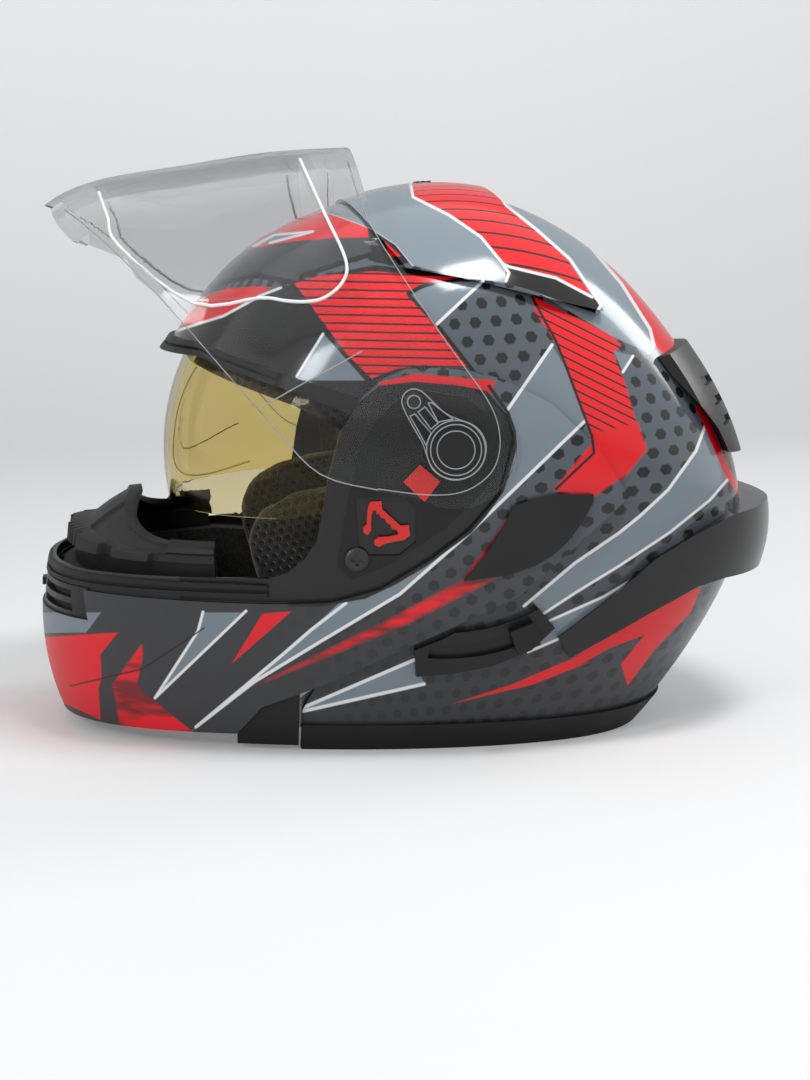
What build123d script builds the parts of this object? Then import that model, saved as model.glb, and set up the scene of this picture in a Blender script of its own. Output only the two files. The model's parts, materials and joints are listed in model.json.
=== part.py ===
"""A flip-up motorcycle helmet with a clear visor, a drop-down sun visor and a chin bar.

The frame is the helmet's own: -X is the front, -Y the rider's left and +Z up. The origin lies
on the table that the helmet stands on, under the middle of its length. Nearly everything
follows nested forms: one side outline, drawn in towards the hinge line with the distance out
from the middle, and made larger or smaller by a gap. A wall is the space between two gaps.
"""
import os
from math import atan2, cos, degrees, hypot, pi, radians, sin, sqrt

from build123d import *

# Overall size and form
HALF_LENGTH = 175.0
HEIGHT = 250.0
PIVOT_X = 7.5
PIVOT_Z = 139.5
SIDE = 125.0
FLAT_SIDE = 118.5
DOME_RADIUS = 330.0
ROUND_POWER = 2.4
CORNER_POWER = 10.0
OVERRUN = 40.0

# Walls and fits of the shell, from the outside in
SHELL_WALL = 3.5
PLAY = 0.3
RUN_FIT = 0.06
SHOW_GAP = 0.5
SEAT = 0.05
HEAD_DEPTH = 38.0
FACE_DEPTH = 61.0
CROWN_PAD = 8.0
EDGE_PROUD = 1.6
EDGE_DEPTH = 5.4
BASE_Z = 5.0
EDGE_TOP_Z = 12.5
NECK_TOP_Z = 34.0
NECK_X = 12.0
NECK_HALF_LENGTH = 80.0
NECK_HALF_WIDTH = 60.0
NECK_FRONT_X = -39.0
GASKET_PROUD = 2.2
GASKET_BASE = 0.7
PORT_TRIM_DEPTH = 13.0
GASKET_CLEAR = 80.0

# Chin bar
ARM_PLAY = 0.6
ARM_OUT = 5.0
RECESS_OUT = 2.4
CHIN_LINER_DEPTH = 16.0
RIM_RIB_OUT = 4.4
RIM_BASE_OUT = 3.0
RIM_RIB = 1.8
FIN_OUT = 7.6
DEFLECTOR_OUT = -1.5
DEFLECTOR_WALL = 2.4

# Visor mechanism on each arm
PLATE_OUT = 3.5
HUB_RADIUS = 12.4
HUB_BORE = 9.4
HUB_OUT = 7.6
BOLT_RADIUS = 6.0
BOLT_HEAD = 8.8
BOLT_HEAD_OUT = 4.4
BOLT_END_OUT = -9.0
CAP_OUT = 7.2
CLIP_OUT = 4.4
LOCK_OUT = 4.0
SCREW_RADIUS = 2.0
SCREW_HEAD = 4.6
SCREW_HEAD_WALL = 1.2
SCREW_DEPTH = 2.4

# Clear visor, drawn as it stands raised, and its inner film
VISOR_SIDE = 130.0
VISOR_FLAT = 123.3
VISOR_DOME = 800.0
VISOR_CORNER = 5.0
VISOR_WALL = 2.0
VISOR_RAISE = 52.0
POD_RADIUS = 26.0
TEAR_PROUD = 0.9
TEAR_RADIUS = 14.6
TEAR_END = 6.0
TEAR_RIM = 1.3
TEAR_X = -13.0
TEAR_Z = 162.5
TEAR_DIMPLE = 3.2
TEAR_BARS = 2.7
FILM_WALL = 0.9
TAB_PROUD = 2.6
TAB_NEAR = 46.0
TAB_FAR = 78.0

# Sun visor, which turns on its own line inside the shell
SUN_X = -12.0
SUN_Z = 128.0
SUN_RADIUS = 104.0
SUN_SIDE = 112.0
SUN_FLAT = 107.0
SUN_RING = 16
SUN_WALL = 2.2
SUN_ROOM = 3.2
SUN_EAR = 9.0
SUN_PIN = 3.0
SUN_PIN_HEAD = 5.0

# Sun visor slider on the left of the shell
SLIDER_REACH = 91.0
SLIDER_SLOT = 3.2
SLIDER_OUT = 3.2
SLIDER_FLOOR = 0.9
ARM_SWEEP = 82.0
SLIDER_FIRST = 264.0
SLIDER_LAST = 293.0
KNOB_NECK = 2.8
KNOB_TALL = 11.0
KNOB_WIDE = 11.0
KNOB_OUT = 7.4

# Rear and crown covers
SPOILER_WALL = 2.4
COVER_WALL = 1.6
COVER_BACK = 5.0
COVER_UP = 1.8
COVER_HALF_WIDTH = 108.0
EXHAUST_OUT = 5.0
EXHAUST_INNER = 22.0
EXHAUST_OUTER = 84.0
EXHAUST_SLOT = 4.0
EXHAUST_PITCH = 9.0
EXHAUST_SLOTS = 3
EXHAUST_Z = 154.0
EXHAUST_RIM = 7.0
SLIDE_SEAT = 0.7
SLIDE_LENGTH = 22.0
SLIDE_WIDTH = 26.0
SLIDE_TRAVEL = 6.0
SLIDE_X = 8.0
SLIDE_RIB = 1.4
SLIDE_RIBS = 3

# Chin vent
VENT_HALF_WIDTH = 66.0
VENT_OUT = 3.6
VENT_SLOT = 3.4
VENT_PITCH = 6.2
GATE_WIDTH = 30.0
GATE_HEIGHT = 9.0
GATE_WALL = 2.0
GATE_KNOB = 9.0
GATE_KNOB_HEIGHT = 3.4
GATE_TRAVEL = 4.0
GATE_Z = 66.0
GATE_INSET = 3.4

# Release button and latches
BUTTON_LENGTH = 34.0
BUTTON_WIDTH = 12.0
BUTTON_HEIGHT = 9.0
BUTTON_X = -141.0
BUTTON_Z = 4.6
BUTTON_TRAVEL = 4.0
LATCH_X = -71.0
LATCH_Z = 16.0
LATCH_Y = 76.5
LATCH_WALL = 3.0
LATCH_PIN = 2.0
STRIKER_X = -58.0
STRIKER_Z = 15.4
STRIKER_PLATE = 2.0

# Chin strap and its ratchet buckle
STRAP_WIDTH = 24.0
STRAP_WALL = 2.2
STRAP_X = -14.0
STRAP_HIGH_Z = 28.0
STRAP_RUN = 8.0
STRAP_HALF_SPAN = 80.0
STRAP_BEND = 51.0
BUCKLE_LENGTH = 38.0
BUCKLE_HEIGHT = 8.0
BUCKLE_WALL = 1.6
BUCKLE_Y = -22.0
BUCKLE_Z = 8.0
LEVER_LENGTH = 24.0
LEVER_WIDTH = 14.0
LEVER_WALL = 3.0
LEVER_PIN = 1.0
LEVER_Y = -36.0
LEVER_Z = 14.2
TONGUE_LENGTH = 46.0
TONGUE_SHOW = 14.0
TONGUE_WALL = 2.4
TOOTH = 2.0
TOOTH_COUNT = 9

# Outlines seen from the side: shares of the half length, then of the height
HELMET_SHARES = (
    (0.057, 1), (0.306, 0.964), (0.529, 0.868), (0.703, 0.736), (0.82, 0.614), (0.897, 0.472),
    (0.909, 0.34), (0.834, 0.2), (0.703, 0.06), (0.514, -0.08), (0.229, -0.168),
    (-0.143, -0.2), (-0.543, -0.176), (-0.829, -0.08), (-0.943, 0.06), (-0.971, 0.248),
    (-0.909, 0.416), (-0.829, 0.524), (-0.737, 0.628), (-0.629, 0.728), (-0.549, 0.806),
    (-0.429, 0.89), (-0.183, 0.974))
SPOILER_SHARES = (
    (0.057, 1), (0.306, 0.964), (0.529, 0.868), (0.72, 0.736), (0.869, 0.614), (0.96, 0.472),
    (0.984, 0.368), (0.929, 0.232), (0.777, 0.06), (0.514, -0.08), (0.229, -0.168), (-0.143, -0.2),
    (-0.543, -0.176), (-0.829, -0.08), (-0.943, 0.06), (-0.971, 0.248), (-0.909, 0.416),
    (-0.829, 0.524), (-0.737, 0.628), (-0.629, 0.728), (-0.549, 0.806), (-0.429, 0.89),
    (-0.183, 0.974))
PORT_SHARES = (
    (-1.143, 0.744), (-0.566, 0.728), (-0.469, 0.704), (-0.326, 0.672), (-0.194, 0.644),
    (-0.154, 0.6), (-0.143, 0.48), (-0.171, 0.32), (-0.251, 0.18), (-0.32, 0.08),
    (-0.326, -0.24), (-1.143, -0.24))
GASKET_SHARES = (
    (-1.143, 0.744), (-0.566, 0.728), (-0.469, 0.704), (-0.326, 0.672), (-0.194, 0.644),
    (-0.154, 0.6), (-0.143, 0.48), (-0.171, 0.32), (-0.194, 0.32), (-0.171, 0.476),
    (-0.183, 0.576), (-0.217, 0.616), (-0.331, 0.648), (-0.474, 0.68), (-0.571, 0.704),
    (-1.143, 0.716))
GROOVE_SHARES = (0.4, 0.6)
BAND_SHARES = (
    (-1.143, 0.736), (-0.566, 0.72), (-0.469, 0.696), (-0.326, 0.664), (-0.194, 0.636),
    (-0.154, 0.592), (-0.143, 0.48), (-0.171, 0.32), (-0.211, 0.32), (-0.189, 0.472),
    (-0.206, 0.568), (-0.251, 0.596), (-0.343, 0.624), (-0.48, 0.656), (-0.577, 0.68),
    (-1.143, 0.692))
CHIN_SHARES = (
    (-1.143, 0.32), (-0.497, 0.328), (-0.406, 0.328), (-0.36, 0.34), (-0.32, 0.364),
    (-0.291, 0.396), (-0.274, 0.456), (-0.263, 0.508), (-0.251, 0.54), (-0.234, 0.584),
    (-0.189, 0.64), (-0.131, 0.676), (-0.074, 0.692), (0.006, 0.694), (0.097, 0.686),
    (0.166, 0.672), (0.28, 0.632), (0.4, 0.556), (0.486, 0.464), (0.406, 0.416),
    (0.211, 0.296), (-0.046, 0.212), (-0.303, 0.124), (-0.423, 0.088), (-0.486, 0.032),
    (-1.143, 0.024))
RECESS_SHARES = (
    (-1.143, 0.29), (-0.503, 0.284), (-0.383, 0.284), (-0.257, 0.288), (-0.137, 0.312),
    (-0.017, 0.364), (0.08, 0.416), (0.154, 0.476), (0.189, 0.572), (0.171, 0.612),
    (0.114, 0.652), (0.029, 0.668), (-0.069, 0.664), (-0.126, 0.648), (-0.171, 0.608),
    (-0.217, 0.584), (-0.217, 0.76), (-1.486, 0.76))
PLATE_SHARES = (
    (-0.24, 0.352), (-0.206, 0.328), (-0.103, 0.36), (0.023, 0.42), (0.12, 0.488),
    (0.154, 0.544), (0.143, 0.6), (0.069, 0.644), (-0.034, 0.656), (-0.097, 0.64),
    (-0.154, 0.6), (-0.189, 0.552), (-0.211, 0.48), (-0.229, 0.416))
POCKET_SHARES = (
    (-0.2, 0.472), (-0.08, 0.476), (-0.051, 0.448), (-0.051, 0.396), (-0.091, 0.372),
    (-0.189, 0.372))
DETENT_SHARES = (
    (-0.161, 0.467), (-0.136, 0.468), (-0.134, 0.454), (-0.119, 0.444), (-0.101, 0.433),
    (-0.089, 0.425), (-0.069, 0.426), (-0.066, 0.408), (-0.08, 0.4), (-0.113, 0.396),
    (-0.129, 0.393), (-0.141, 0.388), (-0.152, 0.392), (-0.153, 0.399), (-0.143, 0.405),
    (-0.117, 0.406), (-0.094, 0.41), (-0.098, 0.418), (-0.111, 0.42), (-0.113, 0.427),
    (-0.123, 0.43), (-0.128, 0.438), (-0.137, 0.439), (-0.141, 0.446), (-0.148, 0.445),
    (-0.148, 0.452), (-0.156, 0.452), (-0.16, 0.444), (-0.161, 0.429), (-0.16, 0.418),
    (-0.168, 0.409), (-0.179, 0.413), (-0.179, 0.423), (-0.171, 0.428), (-0.17, 0.448),
    (-0.167, 0.461))
LOCK_SHARES = (
    (-0.083, 0.5), (-0.043, 0.53), (0.006, 0.501), (-0.031, 0.466))
WINDOW_SHARE = 0.42
CHIN_LINER_SHARES = (
    (-1.143, 0.304), (-0.514, 0.312), (-0.411, 0.304), (-0.377, 0.248), (-0.411, 0.152),
    (-0.503, 0.108), (-0.56, 0.056), (-1.143, 0.04))
RIM_SHARES = (
    (-1.143, 0.318), (-0.497, 0.318), (-0.411, 0.316), (-0.411, 0.294), (-0.497, 0.294),
    (-1.143, 0.294))
DEFLECTOR_SHARES = (
    (-1.143, 0.396), (-0.857, 0.396), (-0.709, 0.386), (-0.651, 0.364), (-0.64, 0.32),
    (-0.714, 0.306), (-1.143, 0.3))
FIN_SHARES = (
    (0.183, 0.456), (0.234, 0.468), (0.291, 0.476), (0.389, 0.474), (0.389, 0.46),
    (0.36, 0.424), (0.326, 0.392), (0.286, 0.368), (0.24, 0.35), (0.177, 0.336),
    (0.069, 0.328), (0.126, 0.38), (0.171, 0.432))
VENT_SHARES = (
    (-1.143, 0.29), (-0.857, 0.29), (-0.857, 0.232), (-1.143, 0.232))
LATCH_COVER_SHARES = (
    (-0.484, 0.01), (-0.329, 0.01), (-0.329, 0.114), (-0.383, 0.098), (-0.421, 0.086),
    (-0.484, 0.03))
LATCH_SHARES = (
    (-0.446, 0.084), (-0.437, 0.06), (-0.4, 0.037), (-0.294, 0.034), (-0.294, 0.066),
    (-0.317, 0.066), (-0.317, 0.051), (-0.354, 0.05), (-0.389, 0.072), (-0.403, 0.094),
    (-0.429, 0.098))
STRIKER_SHARES = (
    (-0.351, 0.074), (-0.351, 0.052), (-0.309, 0.052), (-0.24, 0.06), (-0.234, 0.104),
    (-0.286, 0.108))
SCREW_SHARES = (
    (-0.057, 0.632), (-0.197, 0.366))
VISOR_SHARES = (
    (-0.166, 1.2), (-0.166, 1.048), (-0.149, 0.932), (-0.109, 0.856), (-0.011, 0.772),
    (0.057, 0.704), (0.126, 0.648), (0.166, 0.612), (0.16, 0.512), (0.006, 0.468),
    (-0.143, 0.484), (-0.286, 0.512), (-0.406, 0.6), (-0.571, 0.724), (-0.72, 0.868),
    (-0.869, 0.908), (-0.926, 0.96), (-1.143, 1.008), (-1.486, 1.2))
FILM_SHARES = (
    (-0.914, 1.048), (-0.811, 0.988), (-0.771, 0.916), (-0.72, 0.844), (-0.663, 0.812),
    (-0.583, 0.804), (-0.423, 0.812), (-0.32, 0.804), (-0.251, 0.82), (-0.223, 0.856),
    (-0.234, 0.92), (-0.274, 1.048), (-0.343, 1.2), (-0.914, 1.2))
TAB_SHARES = (
    (-0.949, 0.976), (-0.914, 0.932), (-0.874, 0.904), (-0.829, 0.894), (-0.834, 0.924),
    (-0.874, 0.956), (-0.914, 0.976))
SUN_SHARES = (
    (-0.8, 0.432), (-0.571, 0.424), (-0.354, 0.428), (-0.274, 0.44), (-0.257, 0.468),
    (-0.171, 0.484), (-0.069, 0.476), (-0.069, 0.548), (-0.183, 0.564), (-0.263, 0.6),
    (-0.354, 0.68), (-0.457, 0.784), (-0.8, 0.784))
SUN_ROOM_SHARES = (
    (-0.8, 0.36), (-0.274, 0.416), (-0.126, 0.448), (-0.034, 0.448), (0.011, 0.48),
    (0.011, 0.6), (0.023, 0.8), (0.034, 1.08), (-0.8, 1.08))
CHEEK_SHARES = (
    (-0.457, 0.368), (-0.423, 0.424), (-0.331, 0.464), (-0.171, 0.484), (0.114, 0.484),
    (0.24, 0.448), (0.297, 0.36), (0.286, 0.24), (0.229, 0.148), (-0.206, 0.148),
    (-0.331, 0.192), (-0.423, 0.272))
CROWN_PAD_SHARES = (
    (-0.343, 0.76), (-0.229, 0.672), (0.114, 0.64), (0.4, 0.632), (0.571, 0.672),
    (0.571, 1.04), (-0.571, 1.04), (-0.429, 0.86))
COVER_SHARES = (
    (-0.2, 1.2), (-0.18, 0.98), (-0.131, 0.924), (-0.063, 0.86), (0.091, 0.84), (0.211, 0.82),
    (0.331, 0.8), (0.434, 0.784), (0.377, 0.86), (0.303, 0.92), (0.223, 0.964), (0.18, 1.02),
    (0.17, 1.2))
EXHAUST_SHARES = (
    (0.594, 0.7), (0.634, 0.664), (0.68, 0.632), (0.72, 0.604), (0.766, 0.568), (0.8, 0.524),
    (0.971, 0.508), (0.971, 0.72), (0.703, 0.72))
SPOILER_BAND_SHARES = (
    (0.32, 0.212), (0.366, 0.236), (0.451, 0.28), (0.571, 0.348), (0.674, 0.384), (0.8, 0.416),
    (0.949, 0.424), (1.143, 0.424), (1.143, 0.288), (0.943, 0.296), (0.789, 0.296),
    (0.703, 0.288), (0.571, 0.248), (0.434, 0.2), (0.354, 0.172))
SLIDER_SHARES = (
    (-0.046, 0.198), (0.029, 0.22), (0.223, 0.304), (0.309, 0.232), (0.251, 0.192),
    (0.149, 0.164), (0.046, 0.152), (-0.04, 0.148))

# Radius of the clear visor about the hinge line at each angle above its closed level
VISOR_REACH = {-60: 214.0, -40: 212.0, -20: 200.0, -7: 168.0, 10: 143.0, 22: 133.0,
               45: 128.0, 80: 127.0, 120: 130.0, 180: 150.0, 230: 180.0, 270: 205.0}

# How far out each section lies, as shares of the half width at the hinge line
STATION_SHARES = (0.0, 0.26, 0.5, 0.68, 0.81, 0.9, 0.95, 0.978, 0.992, 0.9985)


class Form:
    """Nested bodies drawn in towards a line across the helmet, each a gap larger than the outline."""

    def __init__(self, centre, outline, side, flat_side, dome_radius, corner):
        self.centre = centre
        self.outline = outline
        self.side = side
        self.flat_side = flat_side
        self.dome_radius = dome_radius
        self.corner = corner
        self.bodies = {}

    def section(self, gap, y):
        """Closed curve in the plane at y."""
        shrink = (1 - (abs(y) / (self.side + gap)) ** ROUND_POWER) ** (1 / ROUND_POWER)
        dome = sqrt(2 * self.dome_radius * (self.flat_side + gap - abs(y)))
        middle_x, middle_z = self.centre
        points = []
        for x, z in self.outline:
            reach = hypot(x - middle_x, z - middle_z)
            full = (reach + gap) * shrink
            drawn = (full ** -self.corner + dome ** -self.corner) ** (-1 / self.corner)
            share = drawn / reach
            points.append((middle_x + (x - middle_x) * share, y, middle_z + (z - middle_z) * share))
        steps = [0.0]
        for (x, z), (next_x, next_z) in zip(self.outline, self.outline[1:] + self.outline[:1]):
            steps.append(steps[-1] + hypot(next_x - x, next_z - z))
        return Wire([Edge.make_spline(points, periodic=True, parameters=steps)])

    def body(self, gap):
        """Solid of this form, a gap larger than its outline."""
        if gap not in self.bodies:
            reach = self.flat_side + gap
            out = [share * reach for share in STATION_SHARES]
            stations = [-y for y in reversed(out[1:])] + out
            self.bodies[gap] = Solid.make_loft([self.section(gap, y) for y in stations])
        return self.bodies[gap]

    def wall(self, outer, inner, *trims):
        """Space between two gaps, kept inside each of the trimming solids."""
        piece = self.body(outer)
        for trim in trims:
            piece = piece & trim
        return piece - self.body(inner)


def sized(shares):
    """Outline points in real sizes."""
    return [(x * HALF_LENGTH, z * HEIGHT) for x, z in shares]


def reach_outline(raise_angle):
    """Outline of the clear visor's form, turned up about the hinge line."""
    points = []
    for angle, reach in VISOR_REACH.items():
        turn = radians(angle + raise_angle)
        points.append((PIVOT_X - reach * cos(turn), PIVOT_Z + reach * sin(turn)))
    return points


def ring(x, z, radius, count):
    """Evenly spaced points on a circle seen from the side."""
    turns = [radians(360 * step / count) for step in range(count)]
    return [(x + radius * cos(turn), z + radius * sin(turn)) for turn in turns]


def side_prism(shares, low=-SIDE - OVERRUN, high=SIDE + OVERRUN, radius=0.0):
    """Solid with a side outline, from y low to y high, its corners rounded where a radius is given."""
    points = sized(shares)
    line = FilletPolyline(*points, radius=radius, close=True) if radius else Polyline(*points, close=True)
    return Rot(90, 0, 0) * Pos(0, 0, -high) * extrude(make_face(line), high - low)


def slab(low_z, high_z):
    """Everything between two heights."""
    size = 2 * (HALF_LENGTH + OVERRUN)
    return Pos(0, 0, (low_z + high_z) / 2) * Box(size, size, high_z - low_z)


def cross_bar(radius, x, z, low, high):
    """Cylinder along Y between two distances."""
    return Pos(x, (low + high) / 2, z) * Rot(90, 0, 0) * Cylinder(radius, high - low)


def largest(piece):
    """The main solid of a cut piece, without the slivers that the cut leaves."""
    return max(piece.solids(), key=lambda solid: solid.volume)


def across(side, near, far):
    """Two distances out on one side, as low and high y."""
    return (min(side * near, side * far), max(side * near, side * far))


HINGE = (PIVOT_X, PIVOT_Z)
helmet = Form(HINGE, sized(HELMET_SHARES), SIDE, FLAT_SIDE, DOME_RADIUS, CORNER_POWER)
rear_form = Form(HINGE, sized(SPOILER_SHARES), SIDE, FLAT_SIDE, DOME_RADIUS, CORNER_POWER)
visor_form = Form(HINGE, reach_outline(VISOR_RAISE), VISOR_SIDE, VISOR_FLAT, VISOR_DOME, VISOR_CORNER)
sun_form = Form((SUN_X, SUN_Z), ring(SUN_X, SUN_Z, SUN_RADIUS, SUN_RING), SUN_SIDE, SUN_FLAT, DOME_RADIUS,
                VISOR_CORNER)


# Shell and what lines it
def outer_shell():
    """Hard shell, open at the face and the neck, bored for the hinge bolts and vents."""
    shell = helmet.wall(0.0, -SHELL_WALL, slab(BASE_Z, HEIGHT + OVERRUN))
    shell -= side_prism(PORT_SHARES)
    shell -= cross_bar(BOLT_RADIUS, PIVOT_X, PIVOT_Z, -SIDE, SIDE)
    return shell


def bottom_edge():
    """Rubber channel along the lower edge of the shell."""
    edge = helmet.wall(EDGE_PROUD, -EDGE_DEPTH, slab(0.0, EDGE_TOP_Z))
    edge -= side_prism(PORT_SHARES)
    return edge - helmet.wall(0.0, -SHELL_WALL, slab(BASE_Z, HEIGHT))


def neck_column(grow, low_z, high_z):
    """Elliptic opening that the neck passes through."""
    oval = Ellipse(NECK_HALF_LENGTH + grow, NECK_HALF_WIDTH + grow)
    return Pos(NECK_X, 0, low_z) * extrude(oval, high_z - low_z)


def eps_liner():
    """Foam liner with the head cavity, and the pocket that the sun visor rises into."""
    liner = helmet.wall(-SHELL_WALL - PLAY, -HEAD_DEPTH, slab(NECK_TOP_Z + PLAY, HEIGHT))
    liner -= side_prism(PORT_SHARES)
    liner -= sun_pocket()
    for side in (-1, 1):
        liner -= cross_bar(BOLT_HEAD + PLAY, PIVOT_X, PIVOT_Z,
                           *across(side, FLAT_SIDE + BOLT_END_OUT - PLAY, SIDE))
    return liner


def sun_pocket():
    """Room between the shell and the foam, outside the sun visor's inner face."""
    room = side_prism(SUN_ROOM_SHARES)
    return room - sun_form.body(-SUN_WALL - SUN_ROOM)


def crown_pad():
    """Comfort pad under the crown."""
    return helmet.wall(-HEAD_DEPTH - PLAY, -HEAD_DEPTH - CROWN_PAD, side_prism(CROWN_PAD_SHARES))


def cheek_pad(side):
    """Pad beside the face, thick in the middle and drawn in at its edges."""
    low, high = across(side, 0.0, SIDE)
    pad = helmet.wall(-HEAD_DEPTH - PLAY, -FACE_DEPTH, side_prism(CHEEK_SHARES, low, high))
    pad -= neck_column(0.0, 0.0, HEIGHT)
    return pad


def neck_roll():
    """Padded ring round the neck opening, below the foam."""
    roll = helmet.body(-EDGE_DEPTH - PLAY) & slab(NECK_TOP_Z - HEIGHT, NECK_TOP_Z)
    roll = roll & slab(BASE_Z / 2, NECK_TOP_Z)
    roll -= neck_column(0.0, -BASE_Z, HEIGHT)
    roll -= Pos(NECK_FRONT_X - HALF_LENGTH, 0, 0) * Box(2 * HALF_LENGTH, 4 * SIDE, HEIGHT)
    slit = Box(STRAP_WIDTH + 2 * PLAY, 2 * (STRAP_HALF_SPAN + PLAY), 2 * STRAP_WALL + 2 * PLAY)
    return roll - Pos(STRAP_X, 0, STRAP_HIGH_Z - STRAP_WALL / 2) * slit


def strip(shares, near, far):
    """Lengthways part of a band, between two shares of its width, whose outline runs out and back."""
    half = len(shares) // 2
    pairs = list(zip(shares[:half], shares[:half - 1:-1]))
    lines = [[(x + (end_x - x) * share, z + (end_z - z) * share) for (x, z), (end_x, end_z) in pairs]
             for share in (near, far)]
    return lines[0] + lines[1][::-1]


def brow_gasket():
    """Double-lipped rubber seal round the eye port, under the shell's edge."""
    lips = helmet.wall(GASKET_PROUD, -SHELL_WALL, side_prism(PORT_SHARES) & side_prism(GASKET_SHARES))
    groove = side_prism(strip(GASKET_SHARES, *GROOVE_SHARES))
    swept = cross_bar(GASKET_CLEAR, PIVOT_X, PIVOT_Z, -SIDE - OVERRUN, SIDE + OVERRUN)
    return lips - (groove - helmet.body(GASKET_BASE)) - (swept - helmet.body(PLAY))


def port_trim():
    """Fabric-covered edge of the foam inside the eye port."""
    ring = side_prism(PORT_SHARES) & side_prism(BAND_SHARES)
    trim = helmet.wall(-SHELL_WALL - PLAY, -SHELL_WALL - PORT_TRIM_DEPTH, ring)
    return trim - sun_pocket()


# Sun visor and its slider
def sun_visor():
    """Tinted inner visor, a strip of one surface of revolution with a round ear on each side."""
    wall = sun_form.body(0.0) - sun_form.body(-SUN_WALL)
    ears = cross_bar(SUN_EAR, SUN_X, SUN_Z, -SIDE, SIDE)
    shade = (wall & side_prism(SUN_SHARES)) + (wall & ears)
    return shade - cross_bar(SUN_PIN + RUN_FIT, SUN_X, SUN_Z, -SIDE, SIDE)


def sun_pin(side):
    """Shouldered pin that carries the sun visor, headed outside its ear."""
    reach = SUN_FLAT + PLAY
    pin = cross_bar(SUN_PIN, SUN_X, SUN_Z, *across(side, SUN_FLAT - SUN_WALL - SUN_ROOM, reach))
    head = cross_bar(SUN_PIN_HEAD, SUN_X, SUN_Z, *across(side, reach, reach + SUN_WALL))
    return pin + head


def ring_sector(inner, outer, first, last, low, high):
    """Part of a ring about the hinge line, between two angles seen from the side."""
    points = []
    count = 8
    for step in range(count + 1):
        turn = radians(first + (last - first) * step / count)
        points.append((PIVOT_X + outer * cos(turn), PIVOT_Z + outer * sin(turn)))
    for step in range(count + 1):
        turn = radians(last + (first - last) * step / count)
        points.append((PIVOT_X + inner * cos(turn), PIVOT_Z + inner * sin(turn)))
    line = Polyline(*points, close=True)
    return Rot(90, 0, 0) * Pos(0, 0, -high) * extrude(make_face(line), high - low)


def slider_cover():
    """Cover on the left of the shell, with the curved slot of the sun visor slider."""
    plate = helmet.wall(SLIDER_OUT, SEAT, side_prism(SLIDER_SHARES, -SIDE, 0.0))
    slot = ring_sector(SLIDER_REACH - SLIDER_SLOT, SLIDER_REACH + SLIDER_SLOT,
                       SLIDER_FIRST, SLIDER_LAST, -SIDE, 0.0)
    swept = cross_bar(ARM_SWEEP, PIVOT_X, PIVOT_Z, -SIDE - OVERRUN, 0.0)
    return largest(plate - (slot - helmet.body(SLIDER_FLOOR)) - swept)


def slider_knob():
    """Thumb knob of the sun visor, on a neck in the slot."""
    turn = radians(SLIDER_LAST - degrees((KNOB_NECK + PLAY) / SLIDER_REACH))
    x, z = PIVOT_X + SLIDER_REACH * cos(turn), PIVOT_Z + SLIDER_REACH * sin(turn)
    neck = cross_bar(KNOB_NECK, x, z, -SIDE, 0.0)
    neck = (neck & helmet.body((SLIDER_OUT + KNOB_OUT) / 2)) - helmet.body(SLIDER_FLOOR + PLAY)
    lean = degrees(3 * pi / 2 - turn)
    block = Pos(x, -FLAT_SIDE, z) * Rot(0, lean, 0) * Box(KNOB_WIDE, SIDE, KNOB_TALL)
    cap = (block & helmet.body(KNOB_OUT)) - helmet.body(SLIDER_OUT + SHOW_GAP)
    return neck + cap


# Chin bar
def chin_shell():
    """Outer wall of the chin bar and its two arms, recessed where the visor lies."""
    wall = helmet.wall(ARM_OUT, ARM_PLAY, side_prism(CHIN_SHARES))
    recess = side_prism(RECESS_SHARES)
    wall -= helmet.wall(ARM_OUT + OVERRUN / 2, RECESS_OUT, recess)
    wall -= side_prism(VENT_SHARES, -VENT_HALF_WIDTH, VENT_HALF_WIDTH)
    for side in (-1, 1):
        wall -= screw_holes(side)
    return wall - cross_bar(BOLT_RADIUS + RUN_FIT, PIVOT_X, PIVOT_Z, -SIDE, SIDE)


def chin_liner():
    """Foam block inside the front of the chin bar, with room for the vent gate and the button."""
    block = helmet.wall(0.0, -CHIN_LINER_DEPTH, side_prism(CHIN_LINER_SHARES))
    slot_low = min(z for _, z in sized(DEFLECTOR_SHARES)) - PLAY
    block -= helmet.wall(DEFLECTOR_OUT + PLAY, DEFLECTOR_OUT - DEFLECTOR_WALL - PLAY, slab(slot_low, HEIGHT))
    return block - gate_room() - button_room()


def gate_room():
    """Pocket behind the chin vent for its sliding gate."""
    face = chin_face_x()
    return Pos(face, 0, GATE_Z + GATE_TRAVEL / 2) * Box(
        6 * GATE_WALL, GATE_WIDTH + 2 * PLAY, GATE_HEIGHT + GATE_TRAVEL + 4 * PLAY)


def chin_face_x():
    """Where the front of the chin bar's inner wall stands."""
    return min(x for x, _ in helmet.outline) + GATE_INSET


def button_room():
    """Pocket that the release button rises into."""
    return Pos(BUTTON_X, 0, BUTTON_Z + (BUTTON_HEIGHT + BUTTON_TRAVEL + 2 * PLAY) / 2) * Box(
        BUTTON_WIDTH + 2 * PLAY, BUTTON_LENGTH + 2 * PLAY, BUTTON_HEIGHT + BUTTON_TRAVEL + 2 * PLAY)


def chin_gasket():
    """Rubber seal on the rim that the closed visor presses on, with two ribs."""
    seal = helmet.wall(RIM_RIB_OUT, RECESS_OUT, side_prism(RIM_SHARES))
    middle = sum(z for _, z in sized(RIM_SHARES)) / len(RIM_SHARES)
    groove = slab(middle - RIM_RIB / 2, middle + RIM_RIB / 2)
    return seal - (groove - helmet.body(RIM_BASE_OUT))


def breath_deflector():
    """Flexible guard that stands up from the chin bar in front of the nose."""
    return helmet.wall(DEFLECTOR_OUT, DEFLECTOR_OUT - DEFLECTOR_WALL, side_prism(DEFLECTOR_SHARES))


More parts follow.
